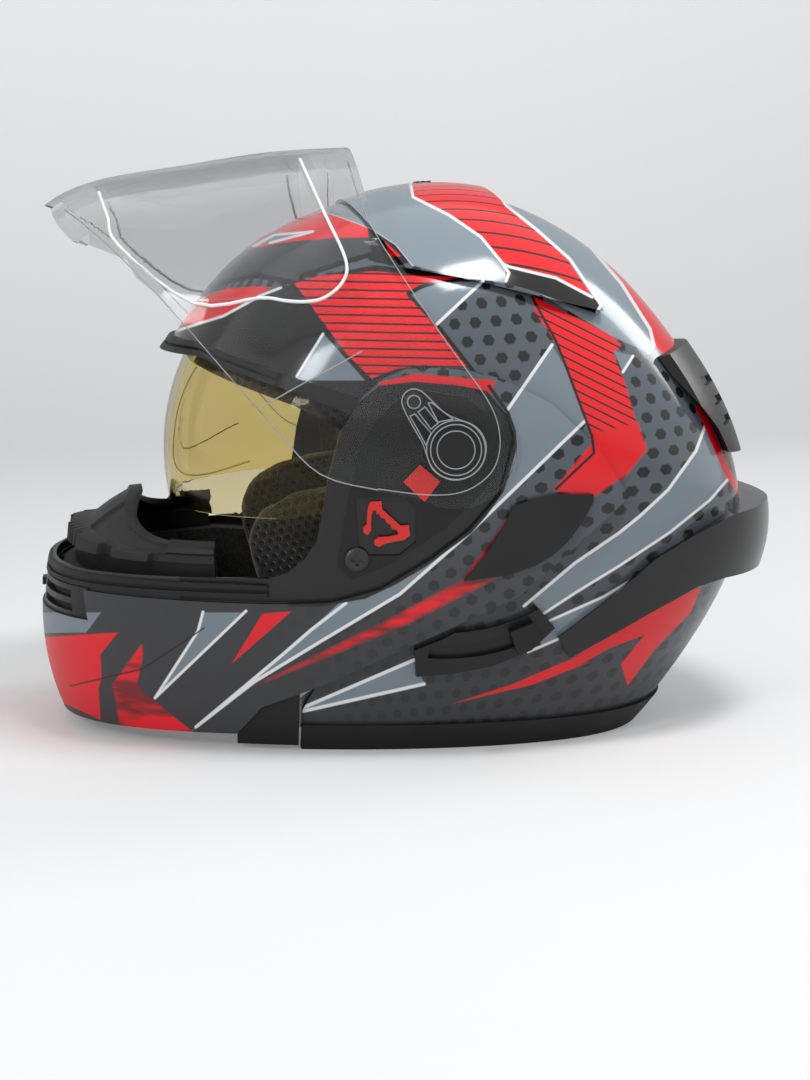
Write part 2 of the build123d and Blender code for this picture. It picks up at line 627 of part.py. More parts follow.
def side_cover(side):
    """Raised fin on the arm behind the hinge."""
    low, high = across(side, 0.0, SIDE + OVERRUN)
    return helmet.wall(FIN_OUT, ARM_OUT, side_prism(FIN_SHARES, low, high))


def chin_vent_cover():
    """Slotted cover in the front of the chin bar."""
    cover = helmet.wall(VENT_OUT, ARM_PLAY, side_prism(VENT_SHARES, -VENT_HALF_WIDTH, VENT_HALF_WIDTH))
    middle = sum(z for _, z in sized(VENT_SHARES)) / len(VENT_SHARES)
    for row in (-1, 1):
        for side in (-1, 1):
            length = VENT_HALF_WIDTH - GATE_WIDTH / 2 - 4 * VENT_SLOT
            y = side * (GATE_WIDTH / 2 + VENT_SLOT + length / 2)
            cover -= Pos(-HALF_LENGTH, y, middle + row * VENT_PITCH / 2) * Box(
                HALF_LENGTH / 2, length, VENT_SLOT)
    cover -= Pos(-HALF_LENGTH, 0, GATE_Z + GATE_TRAVEL / 2) * Box(
        HALF_LENGTH / 2, GATE_KNOB + 2 * PLAY, GATE_KNOB_HEIGHT + GATE_TRAVEL + 2 * PLAY)
    return cover


def chin_vent_gate():
    """Sliding gate behind the chin vent, moved by the small knob in its slot."""
    face = chin_face_x()
    gate = Pos(face + GATE_WALL, 0, GATE_Z) * Box(GATE_WALL, GATE_WIDTH, GATE_HEIGHT)
    front = -HALF_LENGTH + GATE_WALL / 2
    knob = Pos((face + GATE_WALL + front) / 2, 0, GATE_Z) * Box(
        face + GATE_WALL - front, GATE_KNOB, GATE_KNOB_HEIGHT)
    return gate + knob


# Visor mechanism
def base_plate(side):
    """Plate in the arm's recess, with the hub that the visor turns on."""
    low, high = across(side, 0.0, SIDE + OVERRUN)
    plate = helmet.wall(PLATE_OUT, RECESS_OUT + SEAT, side_prism(PLATE_SHARES, low, high))
    plate -= side_prism(POCKET_SHARES, low, high)
    hub = cross_bar(HUB_RADIUS, PIVOT_X, PIVOT_Z, *across(side, FLAT_SIDE, FLAT_SIDE + HUB_OUT))
    plate += hub - helmet.body(RECESS_OUT + SEAT)
    plate -= cross_bar(HUB_BORE, PIVOT_X, PIVOT_Z, low, high)
    return plate - screw_holes(side)


def screw_places(side):
    """Where each screw's head seats on the base plate, facing outwards."""
    places = []
    for x, z in sized(SCREW_SHARES):
        away_x, away_z = x - PIVOT_X, z - PIVOT_Z
        depth = FLAT_SIDE + PLATE_OUT - (away_x ** 2 + away_z ** 2) / (2 * DOME_RADIUS)
        outwards = (away_x / DOME_RADIUS, side, away_z / DOME_RADIUS)
        places.append(Plane(origin=(x, side * depth, z), z_dir=outwards).location)
    return places


def screw_holes(side):
    """Holes for the base plate's screws, also through the arm's wall."""
    hole = Cylinder(SCREW_RADIUS + RUN_FIT, 2 * SCREW_DEPTH + 2 * PLAY)
    return [place * hole for place in screw_places(side)]


def screws():
    """Two screws in each base plate."""
    shank = Pos(0, 0, -SCREW_DEPTH / 2) * Cylinder(SCREW_RADIUS, SCREW_DEPTH)
    head = Pos(0, 0, SEAT + SCREW_HEAD_WALL / 2) * Cylinder(SCREW_HEAD, SCREW_HEAD_WALL)
    neck = Pos(0, 0, SEAT / 2) * Cylinder(SCREW_RADIUS, SEAT)
    screw = shank + neck + head
    return [place * screw for side in (-1, 1) for place in screw_places(side)]


def chin_bolt(side):
    """Shouldered bolt through the shell and the arm, the hinge of the chin bar."""
    shank = cross_bar(BOLT_RADIUS, PIVOT_X, PIVOT_Z,
                      *across(side, FLAT_SIDE + BOLT_END_OUT, FLAT_SIDE + RECESS_OUT + SEAT))
    head = cross_bar(BOLT_HEAD, PIVOT_X, PIVOT_Z,
                     *across(side, FLAT_SIDE + RECESS_OUT + SEAT, FLAT_SIDE + BOLT_HEAD_OUT))
    nut = Pos(PIVOT_X, side * (FLAT_SIDE + BOLT_END_OUT / 2 - SHELL_WALL / 2), PIVOT_Z) * Rot(
        90, 0, 0) * extrude(RegularPolygon(BOLT_HEAD, 6), abs(BOLT_END_OUT) / 4, both=True)
    return shank + head + nut


def hub_cap(side):
    """Round cap that closes the hub over the bolt."""
    return cross_bar(HUB_BORE, PIVOT_X, PIVOT_Z,
                     *across(side, FLAT_SIDE + BOLT_HEAD_OUT + PLAY, FLAT_SIDE + CAP_OUT))


def detent(side):
    """Toothed spring clip that holds the visor at each step."""
    low, high = across(side, 0.0, SIDE + OVERRUN)
    return helmet.wall(CLIP_OUT, RECESS_OUT + SEAT, side_prism(DETENT_SHARES, low, high))


def visor_lock(side):
    """Quick-release block on the base plate under the visor's pod."""
    low, high = across(side, 0.0, SIDE + OVERRUN)
    block = helmet.wall(LOCK_OUT, PLATE_OUT + SEAT, side_prism(LOCK_SHARES, low, high))
    x = sum(x for x, _ in LOCK_SHARES) / len(LOCK_SHARES)
    z = sum(z for _, z in LOCK_SHARES) / len(LOCK_SHARES)
    window = [(x + (corner_x - x) * WINDOW_SHARE, z + (corner_z - z) * WINDOW_SHARE)
              for corner_x, corner_z in LOCK_SHARES]
    return block - (side_prism(window, low, high) - helmet.body((LOCK_OUT + PLATE_OUT) / 2))


# Clear visor
def visor():
    """Clear shield, curved like the helmet's front, with a round pod at each hub."""
    wall = visor_form.body(VISOR_WALL) - visor_form.body(0.0)
    reach = SIDE + OVERRUN
    pods = cross_bar(POD_RADIUS, PIVOT_X, PIVOT_Z, -reach, reach)
    shield = largest(wall & side_prism(VISOR_SHARES)) + (wall & pods)
    shield += visor_form.wall(VISOR_WALL + TEAR_PROUD, VISOR_WALL / 2, tear_rims())
    return shield - cross_bar(HUB_RADIUS + RUN_FIT, PIVOT_X, PIVOT_Z, -reach, reach)


def tear_rims():
    """Raised teardrop round each hub, seen from the side, with two bars across its three windows."""
    away = Vector(TEAR_X - PIVOT_X, TEAR_Z - PIVOT_Z)
    lean = degrees(atan2(away.Y, away.X))
    hub, end = Pos(PIVOT_X, PIVOT_Z), Pos(TEAR_X, TEAR_Z)
    outside = make_hull((hub * Circle(TEAR_RADIUS) + end * Circle(TEAR_END)).edges())
    inside = make_hull((hub * Circle(TEAR_RADIUS - TEAR_RIM) + end * Circle(TEAR_END - TEAR_RIM)).edges())
    rims = outside - inside + hub * Circle(TEAR_RADIUS) + end * Circle(TEAR_END)
    for side in (-1, 1):
        bar = Pos(away.length / 2, side * TEAR_BARS) * Rectangle(away.length, TEAR_RIM)
        rims += hub * Rot(0, 0, lean) * bar & outside
    rims -= end * Circle(TEAR_DIMPLE)
    reach = SIDE + OVERRUN
    return Rot(90, 0, 0) * extrude(rims, reach, both=True)


def visor_film():
    """Anti-fog film against the inside of the visor."""
    return visor_form.wall(-PLAY, -PLAY - FILM_WALL, side_prism(FILM_SHARES))


def lift_tab():
    """Thumb tab on the visor's lower left edge."""
    low, high = across(-1, TAB_NEAR, TAB_FAR)
    return visor_form.wall(VISOR_WALL + TAB_PROUD, VISOR_WALL, side_prism(TAB_SHARES, low, high))


# Covers on the shell
def rear_spoiler():
    """Rear wing as a solid wedge on the back of the shell."""
    wedge = rear_form.body(SPOILER_WALL) & side_prism(SPOILER_BAND_SHARES)
    return wedge - helmet.body(SEAT)


def cover_form(grow):
    """The helmet's form set back and up, so that the crown cover stands out more towards its rear."""
    return Pos(COVER_BACK, 0, COVER_UP) * helmet.body(COVER_WALL + grow)


def crown_cover():
    """Cover wrapped over the crown from side to side, with a flat seat for its slide."""
    trim = side_prism(COVER_SHARES, -COVER_HALF_WIDTH, COVER_HALF_WIDTH)
    return largest((cover_form(0.0) & trim) - helmet.body(SEAT) - slide_room())


def slide_room():
    """Flat seat of the crown slide, open at the top."""
    length = SLIDE_LENGTH + SLIDE_TRAVEL + 2 * PLAY
    return Pos(SLIDE_X + SLIDE_TRAVEL / 2, 0, HEIGHT + SLIDE_SEAT + OVERRUN / 2) * Box(
        length, SLIDE_WIDTH + 2 * PLAY, OVERRUN)


def crown_slide():
    """Slide that opens and shuts the crown vent, flush with the cover and ribbed for a finger."""
    block = Pos(SLIDE_X, 0, HEIGHT + SLIDE_SEAT + PLAY + OVERRUN / 2) * Box(SLIDE_LENGTH, SLIDE_WIDTH, OVERRUN)
    slide = block & cover_form(0.0)
    for step in range(SLIDE_RIBS):
        x = SLIDE_X + (step - (SLIDE_RIBS - 1) / 2) * 2 * SLIDE_RIB
        rib = Pos(x, 0, HEIGHT + OVERRUN / 2) * Box(SLIDE_RIB, SLIDE_WIDTH / 2, OVERRUN)
        slide += (rib & cover_form(SLIDE_RIB / 2)) - cover_form(-SLIDE_RIB / 2)
    return slide


def exhaust(side):
    """Rear exhaust wing on one side of the back."""
    low, high = across(side, EXHAUST_INNER, EXHAUST_OUTER)
    wing = helmet.wall(EXHAUST_OUT, SEAT, side_prism(EXHAUST_SHARES, low, high))
    width = EXHAUST_OUTER - EXHAUST_INNER
    for step in range(EXHAUST_SLOTS):
        height = EXHAUST_Z + (step - (EXHAUST_SLOTS - 1) / 2) * EXHAUST_PITCH
        slot = Pos(HALF_LENGTH / 2, (low + high) / 2, height) * Box(
            HALF_LENGTH * 2, width - 4 * EXHAUST_RIM, EXHAUST_SLOT)
        wing -= slot - helmet.body(EXHAUST_OUT / 2)
    return wing


# Latches and release button
def release_button():
    """Button under the chin that draws both latches back."""
    return Pos(BUTTON_X, 0, BUTTON_Z + BUTTON_HEIGHT / 2) * Box(BUTTON_WIDTH, BUTTON_LENGTH, BUTTON_HEIGHT)


def latch_cover(side):
    """Lower end of the chin bar over the latch, with the latch's pin inside."""
    low, high = across(side, 0.0, SIDE)
    cover = helmet.wall(ARM_OUT - RIM_RIB, ARM_PLAY, side_prism(LATCH_COVER_SHARES, low, high))
    pin = cross_bar(LATCH_PIN, LATCH_X, LATCH_Z, *across(side, LATCH_Y - LATCH_WALL, SIDE))
    return cover + (pin & helmet.body((ARM_OUT - RIM_RIB + ARM_PLAY) / 2))


def latch_hook(side):
    """Hook that holds the chin bar down on the striker."""
    low, high = across(side, LATCH_Y - LATCH_WALL, LATCH_Y)
    hook = side_prism(LATCH_SHARES, low, high)
    return hook - cross_bar(LATCH_PIN + RUN_FIT, LATCH_X, LATCH_Z, low, high)


def striker(side):
    """Steel plate on the shell with the pin that the hook catches."""
    low, high = across(side, LATCH_Y + SHOW_GAP, LATCH_Y + SHOW_GAP + STRIKER_PLATE)
    plate = side_prism(STRIKER_SHARES, low, high)
    pin = cross_bar(LATCH_PIN, STRIKER_X, STRIKER_Z,
                    *across(side, LATCH_Y - LATCH_WALL - SHOW_GAP, LATCH_Y + SHOW_GAP))
    return plate + pin


# Chin strap and buckle
def strap(side):
    """Webbing from the shell through the neck roll and down to the buckle."""
    end = BUCKLE_Y - BUCKLE_LENGTH / 2 if side < 0 else BUCKLE_Y + BUCKLE_LENGTH / 2 + TONGUE_SHOW
    line = [(side * STRAP_HALF_SPAN, STRAP_HIGH_Z), (side * STRAP_BEND, STRAP_HIGH_Z - STRAP_WALL),
            (end + side * STRAP_RUN, BUCKLE_Z), (end + side * PLAY, BUCKLE_Z)]
    return band(line, STRAP_WALL, STRAP_WIDTH)


def band(line, wall, width):
    """Flat band of a steady thickness along a line across the helmet, as wide as given along X."""
    points = [(y, z + wall / 2) for y, z in line] + [(y, z - wall / 2) for y, z in reversed(line)]
    face = make_face(Polyline(*points, close=True))
    return Pos(STRAP_X, 0, 0) * Plane.YZ.location * extrude(face, width / 2, both=True)


def buckle_receiver():
    """Hollow body of the buckle, with the ears and pin of its lever."""
    size = (STRAP_WIDTH + 2 * BUCKLE_WALL, BUCKLE_LENGTH, BUCKLE_HEIGHT)
    body = Pos(STRAP_X, BUCKLE_Y, BUCKLE_Z) * Box(*size)
    hollow = Box(STRAP_WIDTH - 2 * BUCKLE_WALL, BUCKLE_LENGTH, BUCKLE_HEIGHT - 2 * BUCKLE_WALL)
    body -= Pos(STRAP_X, BUCKLE_Y + BUCKLE_WALL, BUCKLE_Z) * hollow
    for side in (-1, 1):
        x = STRAP_X + side * (LEVER_WIDTH / 2 + PLAY + BUCKLE_WALL / 2)
        height = LEVER_Z - BUCKLE_Z + BUCKLE_WALL
        body += Pos(x, LEVER_Y, BUCKLE_Z + height / 2) * Box(BUCKLE_WALL, 4 * BUCKLE_WALL, height)
    body -= Pos(STRAP_X, BUCKLE_Y + BUCKLE_WALL, BUCKLE_Z) * hollow
    length = LEVER_WIDTH + 2 * PLAY + 2 * BUCKLE_WALL
    return body + Pos(STRAP_X, LEVER_Y, LEVER_Z) * Rot(0, 90, 0) * Cylinder(LEVER_PIN, length)


def buckle_lever():
    """Release lever on top of the buckle."""
    high = LEVER_Z + LEVER_WALL / 2
    length = LEVER_LENGTH
    lever = Pos(STRAP_X, LEVER_Y + length / 2, LEVER_Z) * Box(LEVER_WIDTH, length, LEVER_WALL)
    lever += Pos(STRAP_X, LEVER_Y, LEVER_Z) * Rot(0, 90, 0) * Cylinder(LEVER_WALL / 2, LEVER_WIDTH)
    lever += Pos(STRAP_X, LEVER_Y + length - LEVER_WALL, high) * Box(
        LEVER_WIDTH + 4 * BUCKLE_WALL, 2 * LEVER_WALL, LEVER_WALL / 2)
    return lever - Pos(STRAP_X, LEVER_Y, LEVER_Z) * Rot(0, 90, 0) * Cylinder(
        LEVER_PIN + RUN_FIT, 2 * LEVER_WIDTH)


def buckle_tongue():
    """Toothed tongue in the buckle."""
    length = TONGUE_LENGTH
    end = BUCKLE_Y + BUCKLE_LENGTH / 2 + TONGUE_SHOW
    width = STRAP_WIDTH - 2 * BUCKLE_WALL - 2 * PLAY
    low = BUCKLE_Z - TONGUE_WALL / 2
    tongue = Pos(STRAP_X, end - length / 2, BUCKLE_Z) * Box(width, length, TONGUE_WALL)
    for step in range(TOOTH_COUNT):
        y = end - length + (step + 1) * TOOTH
        profile = Polyline((y, low), (y + TOOTH, low), (y + TOOTH, low - TOOTH / 2), close=True)
        tooth = extrude(make_face(profile), width / 2, both=True)
        tongue += Pos(STRAP_X, 0, 0) * Plane.YZ.location * tooth
    return tongue


PIECES = {
    "outer_shell": outer_shell,
    "bottom_edge": bottom_edge,
    "eps_liner": eps_liner,
    "crown_pad": crown_pad,
    "neck_roll": neck_roll,
    "brow_gasket": brow_gasket,
    "port_trim": port_trim,
    "sun_visor": sun_visor,
    "slider_cover": slider_cover,
    "slider_knob": slider_knob,
    "chin_shell": chin_shell,
    "chin_liner": chin_liner,
    "chin_gasket": chin_gasket,
    "breath_deflector": breath_deflector,
    "chin_vent_cover": chin_vent_cover,
    "chin_vent_gate": chin_vent_gate,
    "base_plate_screws": screws,
    "visor": visor,
    "visor_film": visor_film,
    "lift_tab": lift_tab,
    "rear_spoiler": rear_spoiler,
    "crown_cover": crown_cover,
    "crown_slide": crown_slide,
    "release_button": release_button,
    "buckle_receiver": buckle_receiver,
    "buckle_lever": buckle_lever,
    "buckle_tongue": buckle_tongue,
}
PAIRS = {
    "cheek_pad": cheek_pad,
    "sun_visor_pin": sun_pin,
    "side_cover": side_cover,
    "visor_base_plate": base_plate,
    "visor_detent": detent,
    "visor_lock": visor_lock,
    "chin_hinge_bolt": chin_bolt,
    "hub_cap": hub_cap,
    "exhaust_wing": exhaust,
    "latch_cover": latch_cover,
    "latch_hook": latch_hook,
    "latch_striker": striker,
    "chin_strap": strap,
}


def solids_of(piece):
    """Flat list of the solids in a piece."""
    parts = piece if isinstance(piece, (list, tuple)) else [piece]
    return [solid for part in parts for solid in part.solids()]


def write(name, piece):
    """One STEP file for one piece."""
    found = solids_of(piece)
    shape = found[0] if len(found) == 1 else Compound(children=found)
    export_step(shape, os.path.join("parts", name + ".step"))


def main():
    os.makedirs("parts", exist_ok=True)
    for name, make in PIECES.items():
        write(name, make())
    for name, make in PAIRS.items():
        write(name + "_left", make(-1))
        write(name + "_right", make(1))


main()
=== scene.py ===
"""The looks of a flip-up motorcycle helmet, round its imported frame: finishes, pads, seals and trim."""
import json
from itertools import combinations
from math import cos, degrees, pi, radians, sin, sqrt

import bmesh
import bpy
from mathutils import Matrix, Vector
from mathutils.bvhtree import BVHTree
from mathutils.geometry import tessellate_polygon

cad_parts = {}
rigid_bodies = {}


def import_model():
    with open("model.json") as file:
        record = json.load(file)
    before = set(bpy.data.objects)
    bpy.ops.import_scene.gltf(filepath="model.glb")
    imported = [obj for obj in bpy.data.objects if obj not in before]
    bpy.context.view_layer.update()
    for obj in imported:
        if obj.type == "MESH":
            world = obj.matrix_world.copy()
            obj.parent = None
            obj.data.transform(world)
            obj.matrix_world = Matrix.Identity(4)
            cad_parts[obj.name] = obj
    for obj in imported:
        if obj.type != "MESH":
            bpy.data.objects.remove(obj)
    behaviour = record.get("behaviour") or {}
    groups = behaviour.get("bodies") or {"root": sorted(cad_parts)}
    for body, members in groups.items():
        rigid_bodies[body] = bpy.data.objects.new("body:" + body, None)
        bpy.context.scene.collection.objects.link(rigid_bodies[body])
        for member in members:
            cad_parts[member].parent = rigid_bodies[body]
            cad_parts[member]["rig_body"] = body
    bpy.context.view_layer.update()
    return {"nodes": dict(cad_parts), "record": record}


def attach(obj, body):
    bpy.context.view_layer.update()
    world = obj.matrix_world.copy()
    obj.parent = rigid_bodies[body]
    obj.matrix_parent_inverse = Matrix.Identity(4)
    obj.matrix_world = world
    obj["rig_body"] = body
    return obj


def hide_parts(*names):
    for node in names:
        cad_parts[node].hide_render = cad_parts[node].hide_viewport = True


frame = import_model()
MM = 0.001
LENGTHWAYS = Vector((1.0, 0.0, 0.0))

# The photograph's camera, whose view of the left side also lays out the paint
VIEW_FAR = 1.0
VIEW_TARGET = Vector((0.0, 0.0, 0.082))
VIEW_TURN = radians(-6.5)
VIEW_RISE = radians(8.5)
IMAGE_SIZE = (810, 1080)
FOCUS_PIXELS = 2057.1
SENSOR_WIDTH = 36.0

# Paint colours, as linear red, green and blue
CHARCOAL = (0.036, 0.037, 0.041)
COAL_DOT = (0.021, 0.022, 0.024)
BLACK = (0.0055, 0.0055, 0.006)
SLATE = (0.200, 0.245, 0.285)
STEEL_GREY = (0.085, 0.105, 0.125)
PALE_SLATE = (0.225, 0.275, 0.315)
DOT = (0.010, 0.011, 0.012)
RED = (0.800, 0.006, 0.013)
DEEP_RED = (0.200, 0.008, 0.012)
WHITE = (0.800, 0.810, 0.820)
BROW_BLACK = (0.045, 0.047, 0.052)
STRIPE_BLACK = (0.030, 0.004, 0.005)
CLOUDED_RED = (0.72, 0.006, 0.012)
CLOUDED_SLATE = (0.170, 0.210, 0.245)

# Stripes on the side and the rear, with slope, pitch in photograph pixels and dark share of the pitch,
# and on the crown, with pitch in radians and dark share; where streaks show; a line's soft edge in pixels
SIDE_STRIPES, REAR_STRIPES, CROWN_STRIPES = (0.02, 8.3, 0.23), (0.50, 9.2, 0.20), (0.065, 0.15)
STREAKS_FROM, STREAKS_TO = 0.46, 0.62
LINE_FADE = 0.5

# Clear coat: roughness low down and high up, what smears add to it, and its orange peel
COAT_LOW, COAT_HIGH, COAT_SPAN, SMEAR = 0.33, 0.11, 0.8, 0.06
PEEL_SCALE, PEEL_DEPTH = 420.0, 0.000012

# Soft pads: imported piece, how far the skin starts inward and may swell, fill, and sewn channels
PADS = (
    ("crown_pad", 1.2 * MM, 3 * MM, 0.5, (-0.034, 0.0, 0.034)),
    ("neck_roll", 1.5 * MM, 4 * MM, 0.7, ()),
    ("cheek_pad_left", 1.5 * MM, 4 * MM, 0.6, ()),
    ("cheek_pad_right", 1.5 * MM, 4 * MM, 0.6, ()),
)
PAD_VOXEL, PAD_PRESSURE, PAD_FRAMES = 0.0045, 4.0, 20
CHANNEL_WIDTH, CHANNEL_DEPTH = 0.007, 0.0035

# Straps and stitches: route over the pad, section in shares of the width and of the thickness, and each
# strap's side, name and end at the buckle
STRAP_X, STRAP_WIDTH, STRAP_THICKNESS, BUCKLE_Z = -0.014, 0.024, 0.0020, 0.0080
STRAP_ROUTE = ((0.080, 0.0270), (0.064, 0.0268), (0.051, 0.0245))
STRAP_SECTION = ((0.5, 0.0), (0.48, 0.42), (0.44, 0.5), (-0.44, 0.5), (-0.48, 0.42), (-0.5, 0.0),
                 (-0.48, -0.42), (-0.44, -0.5), (0.44, -0.5), (0.48, -0.42))
STRAPS = ((-1, "webbing_left", -0.0385), (1, "webbing_right", 0.0085))
STRAP_STEPS, STITCH_LINE = 8, 0.40
STITCH_PITCH, STITCH_SHARE, THREAD_WIDTH = 0.0032, 0.72, 0.0006

# Nose guard, on an ellipse inside the chin bar: its foot, its wall, its hood at the middle and the ends,
# and its blocks, ribs and sunk panel, whose spans are in degrees from the front
GUARD_CENTRE, GUARD_LONG, GUARD_WIDE = -0.0735, 0.0870, 0.0985
GUARD_FOOT, GUARD_LOW, GUARD_WALL = 0.0770, 0.0870, 0.0030
GUARD_SPAN, WING_SPAN, GUARD_STEPS = radians(61), radians(76), 120
HOOD_RISE, HOOD_REACH, END_RISE, END_REACH = 0.0235, 0.0340, 0.0070, 0.0120
HOOD_STEP, HOOD_BAND, WING_RISE = 0.0080, 0.0055, 0.0090
BLOCKS, BLOCK_OUT, RIB_SPAN, RIB_PITCH, RIB_OUT = ((24, 37), (43, 57)), 0.0040, (7, 21), 3.5, 0.0020
PANEL_SPAN, PANEL_DEEP = (16, 40), 0.0014
GUARD_SHARP, GUARD_EDGE = radians(35), 0.35 * MM

# Corners of the guard's section, most of them in walls past the line that they belong to
OUTER_FACE, INNER_FACE, WING_REACH = 0.7, 1.9, 1.5
WALL_SHARE, BAND_SHARE = 0.35, 0.4
SHOULDER_IN, SHOULDER_UP = 0.3, 0.1
LEDGE_IN, LEDGE_UP, PANEL_IN = 0.2, 0.3, 0.5
LIP_DOWN, RIM_UP, RIM_IN, RIM_DOWN = 0.4, 0.2, 0.2, 0.9
HOOD_IN, HOOD_DOWN = 0.8, 1.2

# Base plate screws: place, head radius and distance of the head from the middle
SCREWS = ((-0.0340, 0.0915, 0.0050, 0.1172), (-0.0100, 0.1590, 0.0042, 0.1224))
HEAD_SIDES, FACE_SHARE, CROSS_WIDE, CROSS_LONG = 32, 0.82, 0.16, 0.55
FACE_OUT, EDGE_OUT, CROSS_FLOOR, HEAD_FOOT = 0.5 * MM, 0.15 * MM, -0.9 * MM, -1.2 * MM

# Lines on the visors, in photograph pixels, laid as round beads
BEAD_STEPS, BEAD_SIDES = 4, 6
FILM_EDGE = ((99, 193), (108, 218), (119, 246), (131, 277), (142, 291), (157, 298), (193, 303), (260, 298),
             (285, 301), (305, 302), (322, 299), (336, 290), (344, 280), (347, 268), (342, 250), (325, 215),
             (308, 178), (300, 160))
VISOR_CREASE = ((230, 427), (262, 407), (295, 388), (328, 370), (362, 351))
VISOR_NEAR_RIM = ((66, 212), (100, 238), (133, 264), (165, 303), (199, 351), (235, 391), (270, 423),
                  (320, 474), (378, 490))
VISOR_REAR_RIM = ((347, 160), (369, 222), (389, 264), (430, 318), (458, 358), (483, 393), (495, 415),
                  (500, 438), (498, 458), (490, 474), (474, 487), (458, 493), (440, 495), (416, 494),
                  (378, 489))
HUB, HUB_RINGS, RING_CORNERS = (456, 450), (29.5, 25.5, 19.0), 28
TEAR_END = (414, 402, 6.5)
TEAR_EDGE = ((403, 407), (402, 399), (406, 392), (413, 389), (421, 391), (430, 399), (445, 413), (460, 420),
             (473, 425), (482, 434), (486, 446), (484, 460), (477, 471), (466, 478), (453, 480), (441, 476),
             (432, 468), (427, 456), (422, 442), (412, 425))
TEAR_WINDOWS = (((410, 416), (415, 414), (431, 433), (426, 445)),
                ((428, 403), (432, 403), (453, 419), (438, 422)),
                ((418, 412), (425, 407), (438, 423), (431, 429)))
SUN_STEP = ((197, 367), (190, 378), (183, 394), (177, 415), (174, 438), (174, 458), (179, 470), (190, 475),
            (206, 474), (225, 469), (250, 461))

# Where the paint fades and its dots show, in photograph pixels, how its dots wrap round the helmet, and the
# centre that it faces away from, with the cosines between which it ends
FADE_ACROSS, FADE_DOWN, FADE_LOW, FADE_HIGH = 600.0, 250.0, -1.81, -0.81
DOTS_LEAN, DOTS_FROM, DOTS_TO = -0.30, 60.0, 200.0
DOT_PITCH, DOT_RADIUS, DOT_EDGE = 18.5, 4.7, 0.03
SHELL_DOT_TURN, ARM_DOT_TURN = radians(-4), radians(-38)
WRAP_CENTRE, WRAP_RADIUS = 0.010, 0.118
STREAK_STRETCH = Vector((0.6, 0.2, 2.0))
PAINT_CENTRE, PAINT_ENDS, PAINT_STARTS = Vector((-0.010, 0.0, 0.115)), 0.10, 0.16

# Dark and light tones of the finishes, as linear red, green and blue
GLOSS_TONES = (0.007, 0.007, 0.008), (0.013, 0.013, 0.015)
RUBBER_TONES = (0.008, 0.008, 0.008), (0.018, 0.018, 0.019)
FOAM_TONES = (0.012, 0.012, 0.013), (0.030, 0.030, 0.033)
KNIT_TONES, HOLE = ((0.014, 0.014, 0.016), (0.040, 0.040, 0.044)), (0.003, 0.003, 0.003)
WEBBING_TONES = (0.008, 0.008, 0.009), (0.045, 0.045, 0.050)
RED_PLASTIC_TONES = (0.62, 0.012, 0.008), (0.76, 0.020, 0.012)

# Sizes of the finishes: features on a metre, and relief in metres
GLOSS_GRAIN, MOULD_GRAIN, RUBBER_GRAIN = (700.0, 0.00005), (2600.0, 0.000015), (2500.0, 0.00002)
BEAD_SCALE, BEAD_SEAM, BEAD_DEPTH = 330.0, 0.12, 0.0002
HOLE_PITCH, HOLE_RADIUS, HOLE_TURN, KNIT_SCALE, KNIT_DEPTH = 0.0040, 0.00115, radians(15), 2400.0, 0.0006
WEAVE_ACROSS, WEAVE_UP, WEAVE_DEPTH = 2200.0, 3100.0, 0.0003
BRUSH_SCALE, BRUSH_STRETCH, BRUSH_DEPTH = 900.0, (1.0, 12.0, 1.0), 0.00001
PLASTIC_IOR = 1.22

# Studio: the floor and its glow to the camera up to a height, the world's light and what is seen of it,
# and the lamps, each with its place, target, size and power
FLOOR_TONES, FLOOR_GLOW = ((0.66, 0.67, 0.68), (0.70, 0.705, 0.71)), (0.98, 0.99, 1.0, 1.0)
GLOW_TOP, GLOW_LOW, GLOW_HIGH = 1.2, 0.16, 0.55
WORLD_LIGHT, WORLD_SEEN = 0.52, 0.93
LAMPS = (
    ("overhead", (0.24, -0.40, 1.25), (0.0, 0.0, 0.12), (0.42, 0.26), 8.0),
    ("front_left", (-0.9, -1.2, 0.8), (0.0, 0.0, 0.12), (0.35, 0.35), 6.0),
    ("right_rear", (1.2, 0.5, 0.8), (0.0, 0.0, 0.12), (0.4, 0.6), 5.0),
)


def view_axes():
    """The photograph's camera place, and its right, up and backward directions."""
    back = Vector((sin(VIEW_TURN) * cos(VIEW_RISE), -cos(VIEW_TURN) * cos(VIEW_RISE), sin(VIEW_RISE)))
    right = Vector((cos(VIEW_TURN), sin(VIEW_TURN), 0.0))
    return VIEW_TARGET + VIEW_FAR * back, right, back.cross(right), back


